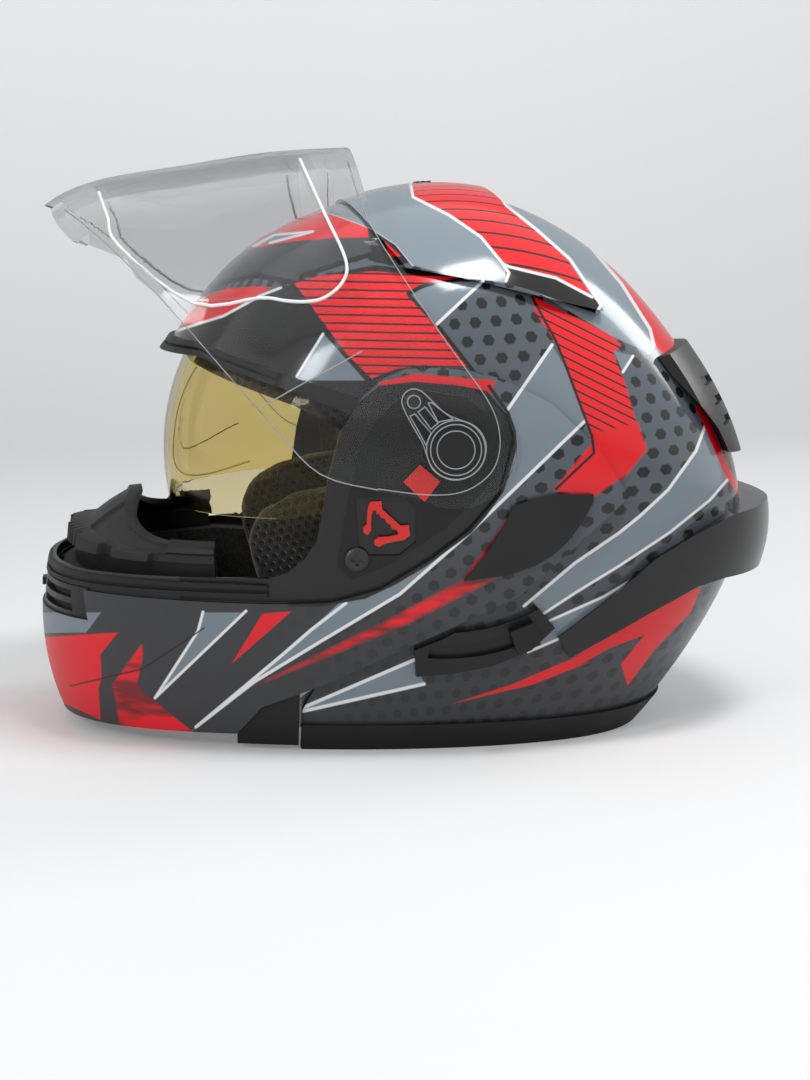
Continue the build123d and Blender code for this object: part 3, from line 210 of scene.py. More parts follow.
class Tree:
    """Short calls for building one node tree, each of which gives back an output."""

    def __init__(self, tree):
        self.tree = tree

    def add(self, kind, inputs=(), **settings):
        """The node itself, with its settings made and its inputs set or linked, by name or by number."""
        node = self.tree.nodes.new(kind)
        for name, value in settings.items():
            setattr(node, name, value)
        pairs = inputs.items() if isinstance(inputs, dict) else enumerate(inputs)
        for key, value in pairs:
            if isinstance(value, bpy.types.NodeSocket):
                self.tree.links.new(value, node.inputs[key])
            elif value is not None:
                socket = node.inputs[key]
                if socket.type == "RGBA" and len(value) == 3:
                    value = (*value, 1.0)
                socket.default_value = value
        return node

    def math(self, operation, *values):
        return self.add("ShaderNodeMath", values, operation=operation).outputs[0]

    def vector(self, operation, *values):
        node = self.add("ShaderNodeVectorMath", values, operation=operation)
        return node.outputs["Value" if operation in ("DOT_PRODUCT", "LENGTH") else "Vector"]

    def mix(self, factor, below, above):
        return self.add("ShaderNodeMix", {0: factor, 6: below, 7: above}, data_type="RGBA").outputs[2]

    def between(self, value, low, high, first=0.0, last=1.0):
        """The first number below low, the last above high and a straight ramp between them."""
        return self.add("ShaderNodeMapRange", (value, low, high, first, last)).outputs[0]

    def noise(self, scale, detail, vector):
        inputs = {"Vector": vector, "Scale": scale, "Detail": detail}
        return self.add("ShaderNodeTexNoise", inputs).outputs["Fac"]

    def place(self):
        return self.add("ShaderNodeTexCoord").outputs["Object"]

    def parts(self, place):
        return self.add("ShaderNodeSeparateXYZ", [place]).outputs

    def join(self, x, y, z):
        return self.add("ShaderNodeCombineXYZ", (x, y, z)).outputs[0]

    def left_of(self, parts):
        """The y of a point folded onto the left side."""
        return self.math("MULTIPLY", self.math("ABSOLUTE", parts[1]), -1.0)


def material(name, **settings):
    """A new material's tree with its one shader, whose plain settings are given by socket name."""
    made = bpy.data.materials.new(name)
    made.use_nodes = True
    tree = Tree(made.node_tree)
    shader = made.node_tree.nodes["Principled BSDF"]
    for key, value in settings.items():
        socket = shader.inputs[key.replace("_", " ")]
        socket.default_value = (*value, 1.0) if isinstance(value, tuple) and len(value) == 3 else value
    return made, tree, shader


def plug(tree, value, shader, name):
    """Links a value to one of a shader's inputs."""
    tree.tree.links.new(value, shader.inputs[name])


def tone(tree, shader, mask, tones):
    """Base colour that runs from the dark to the light tone with a mask."""
    plug(tree, tree.mix(mask, *tones), shader, "Base Color")


def wear(tree, shader, mask, low, high, smooth, rough):
    """Roughness that runs from smooth to rough as a mask runs from low to high."""
    plug(tree, tree.between(mask, low, high, smooth, rough), shader, "Roughness")


def new_group(name, kind, inputs, output):
    """A node group with its sockets, its short calls, and its inputs as outputs of its first node."""
    group = bpy.data.node_groups.new(name, kind)
    for label, socket in inputs:
        group.interface.new_socket(label, in_out="INPUT", socket_type=f"NodeSocket{socket}")
    group.interface.new_socket(output[0], in_out="OUTPUT", socket_type=f"NodeSocket{output[1]}")
    tree = Tree(group)
    return group, tree, tree.add("NodeGroupInput").outputs[:len(inputs)]


def bump(tree, shader, height, distance):
    """Relief of a given real depth in metres on a shader."""
    node = tree.add("ShaderNodeBump", {"Height": height, "Distance": distance, "Strength": 1.0})
    plug(tree, node.outputs[0], shader, "Normal")


# Paint: its lines and patches are laid out as seen in the photograph, and mirrored to the right side
def patch(paint, *corners, soft=1.0):
    """A filled shape, whose edge fades over a few pixels."""
    return "patch", paint, soft, corners


def line(paint, width, *points):
    """A painted line through some points."""
    return "line", paint, width, points


CROWN_PAINT = (
    patch("pale", (326, 212), (355, 222), (374, 230), (396, 244), (413, 265), (440, 272), (500, 281),
          (534, 290), (568, 310), (609, 334), (649, 353), (654, 345), (650, 329), (621, 283), (592, 249),
          (540, 180), (400, 140), (290, 150), (300, 205)),
    patch("red", (592, 249), (621, 283), (650, 329), (656, 347), (691, 380), (730, 400), (690, 280),
          (560, 180)),
    line("white", 3.2, (560, 210), (592, 249), (621, 283), (650, 329), (654, 345), (649, 352)),
    # A black patch along the crown vent's raised rear outlet: its black side face, and painted shade of the
    # opening under the cover.
    patch("black", (506, 268), (510, 262), (556, 280), (595, 300), (601, 305), (597, 313), (566, 303),
          (532, 290), (506, 283)),
    patch("red_crown", (413, 197), (400, 150), (520, 160), (506, 205), (537, 230), (568, 261), (592, 297),
          (556, 278), (510, 267), (503, 264), (481, 237), (449, 215)),
    line("white", 2.8, (408, 170), (413, 197), (449, 215), (481, 237), (503, 264), (510, 267), (556, 278),
         (592, 297)),
    line("white", 2.8, (480, 165), (506, 205), (537, 230), (570, 259), (601, 305), (597, 312)),
    line("white", 2.8, (503, 264), (509, 273), (506, 281)),
)
FOREHEAD_PAINT = (
    patch("black", (120, 325), (182, 329), (224, 316), (260, 296), (281, 288), (293, 285), (318, 277),
          (374, 266), (440, 272), (470, 277), (420, 286), (407, 293), (371, 379), (386, 385), (379, 420),
          (330, 450), (150, 450)),
    patch("red", (230, 252), (285, 222), (326, 205), (374, 226), (374, 238), (331, 239), (285, 243)),
    patch("slate", (254, 245), (275, 234), (313, 232), (270, 242)),
    line("white", 2.4, (254, 246), (275, 235), (313, 232), (270, 243)),
    patch("brow", (180, 296), (189, 296), (229, 279), (257, 274), (300, 282), (303, 274), (346, 260),
          (388, 249), (374, 238), (331, 239), (285, 243), (244, 250), (200, 262)),
    # A black line under the brow vent's lower lip: painted shadow of the lip.
    line("black", 5.0, (185, 299), (229, 281), (257, 276), (300, 284), (303, 276), (346, 262), (388, 250)),
    patch("red", (188, 301), (229, 289), (260, 287), (270, 288), (221, 316), (183, 327), (165, 331),
          (160, 310)),
    line("white", 2.6, (165, 334), (182, 329), (224, 316), (260, 296), (281, 288)),
    patch("slate", (323, 334), (364, 380), (297, 380)),
    line("white", 2.6, (297, 376), (323, 334)),
    patch("black", (368, 228), (390, 235), (408, 262), (396, 266), (374, 262)),
    patch("red", (386, 243), (400, 256), (390, 256)),
    line("white", 2.0, (326, 212), (355, 222), (374, 230), (396, 244), (413, 265)),
)
SHELL_PAINT = (
    patch("red_rows", (293, 285), (318, 277), (372, 272), (461, 278), (420, 285), (407, 293), (437, 324),
          (471, 368), (425, 365), (396, 369), (371, 379), (345, 353), (318, 317), (306, 300)),
    line("black", 4.0, (461, 279), (420, 287), (408, 294), (437, 325), (474, 372), (425, 367), (396, 371),
         (371, 381), (345, 355), (318, 319), (306, 302), (292, 284)),
    patch("slate", (412, 295), (425, 288), (444, 283), (483, 282), (437, 325)),
    line("white", 3.0, (483, 281), (437, 324)),
    patch("red_slope", (533, 297), (564, 312), (603, 330), (620, 345), (612, 353), (625, 386), (636, 425),
          (594, 453), (592, 436), (566, 366), (556, 341), (537, 313), soft=2.0),
    patch("red", (592, 436), (636, 425), (645, 449), (625, 473), (592, 496), (558, 489), (594, 453),
          soft=4.0),
    line("black", 2.6, (532, 297), (556, 341), (566, 366), (592, 436), (594, 453), (556, 489)),
    patch("slate", (615, 352), (633, 356), (623, 372)),
    line("white", 2.6, (633, 356), (623, 372)),
    patch("slate", (532, 600), (575, 563), (619, 533), (640, 516), (668, 490), (696, 451), (707, 421),
          (729, 478), (710, 500), (669, 533), (619, 566), (575, 593), (544, 614)),
    line("white", 3.0, (524, 606), (575, 563), (619, 533), (640, 516), (668, 490), (696, 451), (707, 421)),
    line("white", 2.6, (729, 478), (710, 500), (669, 533), (619, 566), (575, 593), (540, 616)),
    patch("slate", (533, 631), (549, 621), (603, 597), (647, 571), (680, 548), (650, 580), (600, 612),
          (575, 632), (536, 650)),
    line("white", 2.6, (533, 631), (549, 621), (603, 597), (647, 571), (684, 545)),
    line("white", 2.6, (528, 652), (575, 632), (600, 611), (650, 575)),
    line("red", 7.0, (699, 408), (707, 424), (727, 471), (741, 494)),
    patch("red", (473, 698), (515, 684), (573, 659), (603, 640), (640, 612), (700, 588), (690, 612),
          (655, 648), (628, 684), (622, 664), (647, 633), (608, 648), (575, 667), (532, 684), soft=1.5),
    patch("slate", (288, 715), (412, 661), (424, 683)),
    line("white", 3.4, (424, 684), (286, 715), (414, 660)),
)
ARM_PAINT = (
    patch("slate", (506, 413), (552, 346), (573, 382), (594, 431), (586, 420), (562, 443), (529, 475),
          (468, 534), (400, 594), (323, 640), (254, 682), (199, 725), (281, 656), (311, 630), (346, 597),
          (380, 570), (420, 540), (470, 500), (500, 470), (508, 440)),
    patch("red_smoke", (330, 652), (398, 618), (464, 583), (490, 548), (470, 588), (404, 622), soft=5.0),
    patch("red", (592, 446), (640, 449), (625, 473), (592, 496), (556, 489), soft=3.0),
    line("black", 2.6, (566, 366), (592, 436), (594, 453), (556, 489)),
    line("white", 3.2, (552, 345), (504, 415)),
    line("white", 3.2, (592, 415), (586, 420), (562, 443), (529, 475), (468, 534), (400, 594), (323, 640),
         (254, 682), (196, 727), (281, 656), (311, 630), (346, 603)),
)
CHIN_PAINT = (
    patch("slate", (20, 613), (100, 613), (86, 632), (20, 633)),
    patch("red", (20, 639), (117, 633), (100, 654), (101, 677), (98, 689), (100, 719), (62, 702), (20, 690)),
    patch("red_smoke", (141, 647), (142, 657), (136, 682), (141, 692), (204, 742), (149, 734), (121, 726),
          (114, 684), soft=2.0),
    patch("slate", (203, 613), (244, 613), (157, 696), (198, 631)),
    line("white", 2.8, (246, 611), (155, 698), (198, 631), (203, 612)),
    patch("red", (263, 614), (290, 612), (234, 661)),
    patch("red", (379, 383), (415, 374), (494, 381), (492, 393), (459, 387), (415, 382), (386, 387)),
    patch("black", (380, 386), (415, 382), (459, 386), (486, 391), (507, 415), (513, 432), (514, 446),
          (510, 461), (501, 490), (485, 513), (470, 530), (425, 563), (395, 581), (365, 595), (320, 604),
          (290, 602), (180, 599), (180, 560), (300, 540), (310, 440)),
    line("black", 3.6, (489, 386), (508, 413), (514, 431), (515, 446), (511, 462), (502, 491), (485, 515),
         (470, 532), (425, 565), (395, 583), (365, 597), (320, 605), (290, 604)),
    # A thin black line along the chin's body crease: painted shade of the crease.
    line("black", 1.4, (70, 686), (142, 669), (179, 645), (204, 628)),
)


def side_view(tree):
    """Photograph pixel of a point, as across and down, with the right side folded onto the left."""
    eye, right, up, back = view_axes()
    parts = tree.parts(tree.place())
    folded = tree.join(parts[0], tree.left_of(parts), parts[2])
    ray = tree.vector("SUBTRACT", folded, eye)
    depth = tree.vector("DOT_PRODUCT", ray, back)
    across = tree.math("DIVIDE", tree.vector("DOT_PRODUCT", ray, right), depth)
    down = tree.math("DIVIDE", tree.vector("DOT_PRODUCT", ray, up), depth)
    across = tree.math("MULTIPLY_ADD", across, -FOCUS_PIXELS, IMAGE_SIZE[0] / 2)
    down = tree.math("MULTIPLY_ADD", down, FOCUS_PIXELS, IMAGE_SIZE[1] / 2)
    return across, down


def turns_left(before, corner, after):
    """Whether an outline that runs round its area bends the right way at a corner."""
    first, second = corner - before, after - corner
    return first.x * second.y - first.y * second.x >= 0


def convex_parts(corners):
    """Splits an outline into convex outlines, all running the same way round."""
    points = [Vector(corner) for corner in corners]
    parts = []
    for triangle in tessellate_polygon([[point.to_3d() for point in points]]):
        a, b, c = triangle
        parts.append([a, b, c] if turns_left(points[a], points[b], points[c]) else [a, c, b])
    joined = True
    while joined:
        joined = False
        for first, second in combinations(parts, 2):
            merged = merge_parts(points, first, second)
            if merged:
                parts = [part for part in parts if part is not first and part is not second] + [merged]
                joined = True
                break
    return [[points[index] for index in part] for part in parts]


def merge_parts(points, first, second):
    """One convex outline from two that share an edge, or nothing."""
    for i, start in enumerate(first):
        stop = first[(i + 1) % len(first)]
        if stop in second and second[(second.index(stop) + 1) % len(second)] == start:
            j = second.index(start)
            ring = first[i + 1:] + first[:i + 1] + (second[j + 1:] + second[:j])[:-1]
            looped = [points[index] for index in ring + ring[:2]]
            return ring if all(map(turns_left, looped, looped[1:], looped[2:])) else None
    return None


def layer_tree(kind, width, corners):
    """A small node group that gives how strongly one patch or line covers a photograph pixel."""
    inputs = [(label, "Vector") for label in ("Across", "Down", "Pixel")]
    group, tree, (across, down, pixel) = new_group(kind, "ShaderNodeTree", inputs, ("Cover", "Float"))
    if kind == "line":
        away = off_line(tree, pixel, corners)
        cover = tree.math("SUBTRACT", width / 2 + LINE_FADE, away)
    else:
        away = outside_patch(tree, across, down, corners)
        cover = tree.math("MULTIPLY_ADD", away, -1.0 / width, 1.0)
    tree.add("NodeGroupOutput", [cover])
    return group


def outside_patch(tree, across, down, corners):
    """How many pixels a point lies outside an outline, and zero inside it."""
    nearest = None
    for part in convex_parts(corners):
        edges = []
        for start, stop in zip(part, part[1:] + part[:1]):
            along = (stop - start).normalized()
            edges.append((along.y, -along.x, along.x * start.y - along.y * start.x))
        edges += [(0.0, 0.0, -1.0)] * (-len(edges) % 3)
        found = None
        for i in range(0, len(edges), 3):
            rights, downs, offsets = zip(*edges[i:i + 3])
            away = tree.vector("MULTIPLY_ADD", down, downs, offsets)
            away = tree.vector("MULTIPLY_ADD", across, rights, away)
            found = away if found is None else tree.vector("MAXIMUM", found, away)
        away = tree.vector("LENGTH", tree.vector("MAXIMUM", found, (0.0, 0.0, 0.0)))
        nearest = away if nearest is None else tree.math("MINIMUM", nearest, away)
    return nearest


def off_line(tree, pixel, points):
    """How many pixels a point lies from a line through some points."""
    nearest = None
    for start, stop in zip(points, points[1:]):
        start, stop = Vector((*start, 0.0)), Vector((*stop, 0.0))
        reach = stop - start
        ray = tree.vector("SUBTRACT", pixel, start)
        share = tree.vector("DOT_PRODUCT", ray, reach / reach.length_squared)
        share = tree.math("MINIMUM", tree.math("MAXIMUM", share, 0.0), 1.0)
        foot = tree.add("ShaderNodeVectorMath", {"Vector": reach, "Scale": share}, operation="SCALE")
        away = tree.vector("LENGTH", tree.vector("SUBTRACT", ray, foot.outputs[0]))
        nearest = away if nearest is None else tree.math("MINIMUM", nearest, away)
    return nearest


def hexagon_dots(tree, place, pitch, radius, turn):
    """1 inside a lattice of small hexagons, 0 between them and a short ramp at their edges."""
    across = tree.vector("DOT_PRODUCT", place, (cos(turn) / pitch, sin(turn) / pitch, 0.0))
    down = tree.vector("DOT_PRODUCT", place, (-sin(turn) / pitch, cos(turn) / pitch, 0.0))
    nearest = None
    for shift in (0.0, 0.5):
        x = tree.math("ADD", across, shift)
        x = tree.math("SUBTRACT", tree.math("WRAP", x, 1.0, 0.0), 0.5)
        y = tree.math("ADD", down, shift * sqrt(3))
        y = tree.math("SUBTRACT", tree.math("WRAP", y, sqrt(3), 0.0), sqrt(3) / 2)
        x, y = tree.math("ABSOLUTE", x), tree.math("ABSOLUTE", y)
        slant = tree.math("ADD", tree.math("MULTIPLY", x, sqrt(3) / 2), tree.math("MULTIPLY", y, 0.5))
        away = tree.math("MAXIMUM", slant, y)
        nearest = away if nearest is None else tree.math("MINIMUM", nearest, away)
    return tree.between(nearest, radius / pitch + DOT_EDGE, radius / pitch - DOT_EDGE)


def stripes(tree, pixel, slope, pitch, share):
    """1 on a share of each stripe, where stripes fall to the right by a slope, a pitch in pixels apart."""
    across, down = pixel
    along = tree.math("MULTIPLY_ADD", across, -slope, down)
    return tree.math("LESS_THAN", tree.math("FRACT", tree.math("DIVIDE", along, pitch)), share)


def crown_stripes(tree, pitch, share):
    """The same for stripes that run front to back over the crown, a pitch in radians apart."""
    parts = tree.parts(tree.place())
    above = tree.math("SUBTRACT", parts[2], PAINT_CENTRE.z)
    roll = tree.math("ARCTAN2", tree.math("ABSOLUTE", parts[1]), above)
    return tree.math("LESS_THAN", tree.math("FRACT", tree.math("DIVIDE", roll, pitch)), share)


def wrapped_place(tree):
    """Way round the helmet and height, in photograph pixels at its side."""
    parts = tree.parts(tree.place())
    turn = tree.math("ARCTAN2", tree.left_of(parts), tree.math("ADD", parts[0], WRAP_CENTRE))
    scale = FOCUS_PIXELS / VIEW_FAR
    around = tree.math("MULTIPLY", turn, WRAP_RADIUS * scale)
    down = tree.math("MULTIPLY", parts[2], -scale)
    return tree.join(around, down, 0.0)


def ground_coat(tree, pixel, dot_turn):
    """Hexagon dots over a fade from charcoal to slate, and how far the fade has gone."""
    across, down = pixel
    upper = tree.math("ADD", tree.math("DIVIDE", across, FADE_ACROSS), tree.math("DIVIDE", down, -FADE_DOWN))
    upper = tree.between(upper, FADE_LOW, FADE_HIGH)
    shown = tree.between(tree.math("MULTIPLY_ADD", down, DOTS_LEAN, across), DOTS_FROM, DOTS_TO)
    dots = hexagon_dots(tree, wrapped_place(tree), DOT_PITCH, DOT_RADIUS, dot_turn)
    dots = tree.math("MULTIPLY", dots, shown)
    colour = tree.mix(upper, CHARCOAL, STEEL_GREY)
    return tree.mix(dots, colour, tree.mix(upper, COAL_DOT, DOT)), upper


def paint_colours(tree, pixel):
    """The paints that patches and lines name: plain, clouded, striped and streaked."""
    cloud = tree.noise(25.0, 3.0, tree.place())
    streaks = tree.noise(60.0, 3.0, tree.vector("MULTIPLY", tree.place(), STREAK_STRETCH))
    striped = {
        "red_rows": (stripes(tree, pixel, *SIDE_STRIPES), STRIPE_BLACK),
        "red_slope": (stripes(tree, pixel, *REAR_STRIPES), STRIPE_BLACK),
        "red_crown": (crown_stripes(tree, *CROWN_STRIPES), STRIPE_BLACK),
        "red_smoke": (tree.between(streaks, STREAKS_FROM, STREAKS_TO), DEEP_RED),
    }
    paints = {"black": BLACK, "white": WHITE, "pale": PALE_SLATE, "brow": BROW_BLACK,
              "red": tree.mix(cloud, RED, CLOUDED_RED), "slate": tree.mix(cloud, SLATE, CLOUDED_SLATE)}
    for name, (mask, dark) in striped.items():
        paints[name] = tree.mix(mask, RED, dark)
    return paints


def paint(name, layers, dot_turn):
    """Clear-coated paint on outward faces: the ground coat, then patches and lines one over another."""
    made, tree, shader = material(name, Specular_IOR_Level=0.5)
    pixel = side_view(tree)
    colour, upper = ground_coat(tree, pixel, dot_turn)
    paints = paint_colours(tree, pixel)
    spread = [tree.join(value, value, value) for value in pixel] + [tree.join(*pixel, 0.0)]
    for kind, paint_name, width, corners in layers:
        group = layer_tree(kind, width, corners)
        cover = tree.add("ShaderNodeGroup", dict(enumerate(spread)), node_tree=group)
        colour = tree.mix(cover.outputs[0], colour, paints[paint_name])
    out = tree.vector("NORMALIZE", tree.vector("SUBTRACT", tree.place(), PAINT_CENTRE))
    normal = tree.add("ShaderNodeNewGeometry").outputs["Normal"]
    outer = tree.between(tree.vector("DOT_PRODUCT", out, normal), PAINT_ENDS, PAINT_STARTS)
    tone(tree, shader, outer, (BLACK, colour))
    gloss = tree.between(upper, 0.0, COAT_SPAN, COAT_LOW, COAT_HIGH)
    smear = tree.math("MULTIPLY", tree.noise(18.0, 4.0, tree.place()), SMEAR)
    plug(tree, tree.math("ADD", gloss, smear), shader, "Roughness")
    bump(tree, shader, tree.noise(PEEL_SCALE, 1.0, tree.place()), PEEL_DEPTH)
    return made


# Finishes
def grain(tree, shader, place, scale, depth):
    """Fine relief, from its features on a metre and its depth in metres."""
    bump(tree, shader, tree.noise(scale, 2.0, place), depth)


def greys(shade, dark, light):
    """A dark and a light tone round a shade of grey."""
    return (shade * dark,) * 3, (shade * light,) * 3


def gloss_black():
    """Gloss black paint with a slight orange peel."""
    made, tree, shader = material("black_gloss", Roughness=0.20, Specular_IOR_Level=0.45)
    place = tree.place()
    tone(tree, shader, tree.noise(45.0, 3.0, place), GLOSS_TONES)
    grain(tree, shader, place, *GLOSS_GRAIN)
    return made


def moulded_black(name, shade, roughness):
    """Moulded black plastic with a fine spark-eroded grain and faint handling wear."""
    made, tree, shader = material(name, Specular_IOR_Level=0.32)
    place = tree.place()
    cloud = tree.noise(30.0, 4.0, place)
    tone(tree, shader, cloud, greys(shade, 0.8, 1.25))
    wear(tree, shader, cloud, 0.3, 0.7, roughness - 0.07, roughness + 0.07)
    grain(tree, shader, place, *MOULD_GRAIN)
    return made


def rubber():
    """Black rubber, dusty in places."""
    made, tree, shader = material("rubber", Specular_IOR_Level=0.30)
    place = tree.place()
    cloud = tree.noise(60.0, 4.0, place)
    tone(tree, shader, cloud, RUBBER_TONES)
    wear(tree, shader, cloud, 0.3, 0.7, 0.42, 0.6)
    grain(tree, shader, place, *RUBBER_GRAIN)
    return made


def bead_foam():
    """Expanded foam, of beads about 3 mm across pressed together."""
    made, tree, shader = material("foam", Roughness=0.85)
    beads = {"Vector": tree.place(), "Scale": BEAD_SCALE}
    cells = tree.add("ShaderNodeTexVoronoi", beads, feature="DISTANCE_TO_EDGE")
    edge = tree.between(cells.outputs["Distance"], 0.0, BEAD_SEAM)
    tone(tree, shader, edge, FOAM_TONES)
    bump(tree, shader, edge, BEAD_DEPTH)
    return made


def pad_mesh():
    """Black warp-knit mesh with rows of holes, 4 mm apart, over foam."""
    made, tree, shader = material("pad_fabric", Roughness=0.8, Sheen_Weight=0.35, Sheen_Roughness=0.4)
    place = tree.place()
    parts = tree.parts(place)
    flat = tree.join(parts[0], parts[2], 0.0)
    holes = hexagon_dots(tree, flat, HOLE_PITCH, HOLE_RADIUS, HOLE_TURN)
    threads = tree.noise(KNIT_SCALE, 2.0, place)
    tone(tree, shader, holes, (tree.mix(threads, *KNIT_TONES), HOLE))
    height = tree.math("SUBTRACT", tree.math("MULTIPLY", threads, 0.25), holes)
    bump(tree, shader, height, KNIT_DEPTH)
    return made


def webbing():
    """Black polyester webbing with a fine chevron weave."""
    made, tree, shader = material("webbing", Roughness=0.62, Sheen_Weight=0.3)
    place = tree.place()
    rows = tree.vector("DOT_PRODUCT", place, (WEAVE_ACROSS, WEAVE_ACROSS, WEAVE_UP))
    rows = tree.math("SINE", rows)
    cross = tree.vector("DOT_PRODUCT", place, (WEAVE_ACROSS, -WEAVE_ACROSS, -WEAVE_UP))
    weave = tree.math("MAXIMUM", rows, tree.math("SINE", cross))
    level = tree.between(weave, -0.4, 1.0)
    tone(tree, shader, level, WEBBING_TONES)
    bump(tree, shader, level, WEAVE_DEPTH)
    return made


def edge_plastic(name, shade, clearness):
    """A line on a visor: white print on the film, and a grey tint on the clear visor and a brown one on the
    sun visor that paint the bright and dark line each moulded edge and step shows in light.
    """
    made, tree, shader = material(name, Roughness=0.3, Transmission_Weight=clearness, IOR=PLASTIC_IOR)
    tone(tree, shader, tree.noise(200.0, 2.0, tree.place()), (tuple(0.9 * part for part in shade), shade))
    return made


def clear_plastic(name, tint, roughness=0.02):
    """Clear polycarbonate with a faint hairline haze."""
    made, tree, shader = material(name, Transmission_Weight=1.0, IOR=PLASTIC_IOR, Base_Color=tint)
    wear(tree, shader, tree.noise(70.0, 5.0, tree.place()), 0.5, 0.8, roughness, roughness + 0.012)
    return made


def metal(name, shade, roughness):
    """Brushed steel, bright or blackened."""
    made, tree, shader = material(name, Metallic=1.0)
    brushed = tree.noise(BRUSH_SCALE, 3.0, tree.vector("MULTIPLY", tree.place(), BRUSH_STRETCH))
    tone(tree, shader, brushed, greys(shade, 0.82, 1.12))
    wear(tree, shader, brushed, 0.2, 0.8, roughness - 0.06, roughness + 0.1)
    bump(tree, shader, brushed, BRUSH_DEPTH)
    return made


def red_plastic():
    """Red moulded plastic of the clips, locks and release."""
    made, tree, shader = material("red_plastic", Subsurface_Weight=0.04)
    cloud = tree.noise(40.0, 3.0, tree.place())
    tone(tree, shader, cloud, RED_PLASTIC_TONES)
    wear(tree, shader, cloud, 0.3, 0.7, 0.25, 0.38)
    return made


SHELL_LAYERS = FOREHEAD_PAINT + ARM_PAINT + SHELL_PAINT + CROWN_PAINT
FINISHES = {
    "shell_paint": paint("shell_paint", SHELL_LAYERS, SHELL_DOT_TURN),
    "chin_paint": paint("chin_paint", ARM_PAINT + CHIN_PAINT, ARM_DOT_TURN),
    "black_gloss": gloss_black(),
    "black_satin": moulded_black("black_satin", 0.013, 0.34),
    "black_matte": moulded_black("black_matte", 0.010, 0.48),
    "rubber": rubber(),
    "foam": bead_foam(),
    "pad_fabric": pad_mesh(),
    "webbing": webbing(),
    "clear": clear_plastic("clear", (0.985, 0.99, 0.995), 0.0),
    "film": clear_plastic("film", (0.97, 0.98, 0.99), 0.02),
    "amber": clear_plastic("amber", (0.97, 0.86, 0.50)),
    # clear_edge and amber_edge are tints that paint the light and shade lines of the visors' moulded edges
    # and steps
    "clear_edge": edge_plastic("clear_edge", (0.50, 0.51, 0.53), 0.3),
    "film_print": edge_plastic("film_print", (0.90, 0.91, 0.92), 0.0),
    "amber_edge": edge_plastic("amber_edge", (0.50, 0.33, 0.08), 0.3),
    "red_plastic": red_plastic(),
    "steel": metal("steel", 0.55, 0.3),
    "black_steel": metal("black_steel", 0.06, 0.38),
}


def dress_nodes():
    """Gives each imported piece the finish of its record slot."""
    slots = {piece["node"]: piece["material_slot"] for piece in frame["record"]["subparts"]}
    for name, piece in frame["nodes"].items():
        for slot in piece.material_slots:
            slot.material = FINISHES[slots[name]]


def add_object(name, data):
    """A new object in the scene."""
    piece = bpy.data.objects.new(name, data)
    bpy.context.scene.collection.objects.link(piece)
    return piece


def from_work(name, work):
    """A new piece from a worked mesh, which is let go."""
    mesh = bpy.data.meshes.new(name)
    work.to_mesh(mesh)
    work.free()
    return add_object(name, mesh)


def skin(work, rings):
    """A closed skin over a row of rings of points, facing outwards."""
    count = len(rings[0])
    for ring, following in zip(rings, rings[1:]):
        for i in range(count):
            j = (i + 1) % count
            work.faces.new((ring[i], ring[j], following[j], following[i]))
    work.faces.new(rings[0])
    work.faces.new(rings[-1])
    bmesh.ops.recalc_face_normals(work, faces=work.faces)


def make_plain(piece):
    """Turns a piece's modifiers into its plain mesh."""
    depsgraph = bpy.context.evaluated_depsgraph_get()
    depsgraph.update()
    mesh = bpy.data.meshes.new_from_object(piece.evaluated_get(depsgraph), depsgraph=depsgraph)
    piece.modifiers.clear()
    piece.data = mesh


def finish_piece(piece, body, slot_name, replaced=()):
    """Gives a piece its finish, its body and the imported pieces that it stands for."""
    piece.data.materials.clear()
    piece.data.materials.append(FINISHES[slot_name])
    piece.data.shade_smooth()
    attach(piece, body)
    if replaced:
        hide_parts(*replaced)


def joined_mesh(node):
    """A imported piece's surface with its loose triangles joined."""
    work = bmesh.new()
    work.from_mesh(frame["nodes"][node].data)
    bmesh.ops.remove_doubles(work, verts=work.verts, dist=0.01 * MM)
    return work


def path_group(name, size):
    """A geometry node group that takes a wire mesh, a size and a finish."""
    inputs = (("Geometry", "Geometry"), (size, "Float"), ("Finish", "Material"))
    return new_group(name, "GeometryNodeTree", inputs, ("Geometry", "Geometry"))


def finished(group, tree, made, finish):
    """Ends a geometry node group: its result is made real and gets its finish."""
    made = tree.add("GeometryNodeRealizeInstances", [made]).outputs[0]
    made = tree.add("GeometryNodeSetMaterial", {0: made, "Material": finish}).outputs[0]
    tree.add("NodeGroupOutput", [made])
    return group


def bead_tree():
    """Geometry nodes that run a round bead along the edges of a wire mesh."""
    group, tree, inputs = path_group("bead_along_path", "Bead Radius")
    path, radius, finish = inputs
    curve = tree.add("GeometryNodeMeshToCurve", [path]).outputs[0]
    curve = tree.add("GeometryNodeCurveSplineType", [curve], spline_type="CATMULL_ROM").outputs[0]
    curve = tree.add("GeometryNodeSetSplineResolution", {0: curve, "Resolution": BEAD_STEPS}).outputs[0]
    ring = {"Resolution": BEAD_SIDES, "Radius": radius}
    ring = tree.add("GeometryNodeCurvePrimitiveCircle", ring).outputs[0]
    bead = tree.add("GeometryNodeCurveToMesh", {0: curve, 1: ring, "Fill Caps": True}).outputs[0]
    return finished(group, tree, bead, finish)


def stitch_tree():
    """Geometry nodes that lay short round stitches along the edges of a wire mesh."""
    group, tree, inputs = path_group("stitches_along_path", "Stitch Pitch")
    path, pitch, finish = inputs
    curve = tree.add("GeometryNodeMeshToCurve", [path]).outputs[0]
    spots = tree.add("GeometryNodeCurveToPoints", {0: curve, "Length": pitch}, mode="LENGTH").outputs
    stitch = tree.add("GeometryNodeMeshUVSphere", {"Segments": 6, "Rings": 4, "Radius": 0.5}).outputs[0]
    shape = tree.join(THREAD_WIDTH, THREAD_WIDTH, tree.math("MULTIPLY", pitch, STITCH_SHARE))
    turned = {"Points": spots["Points"], "Instance": stitch, "Rotation": spots["Rotation"], "Scale": shape}
    laid = tree.add("GeometryNodeInstanceOnPoints", turned).outputs[0]
    return finished(group, tree, laid, finish)


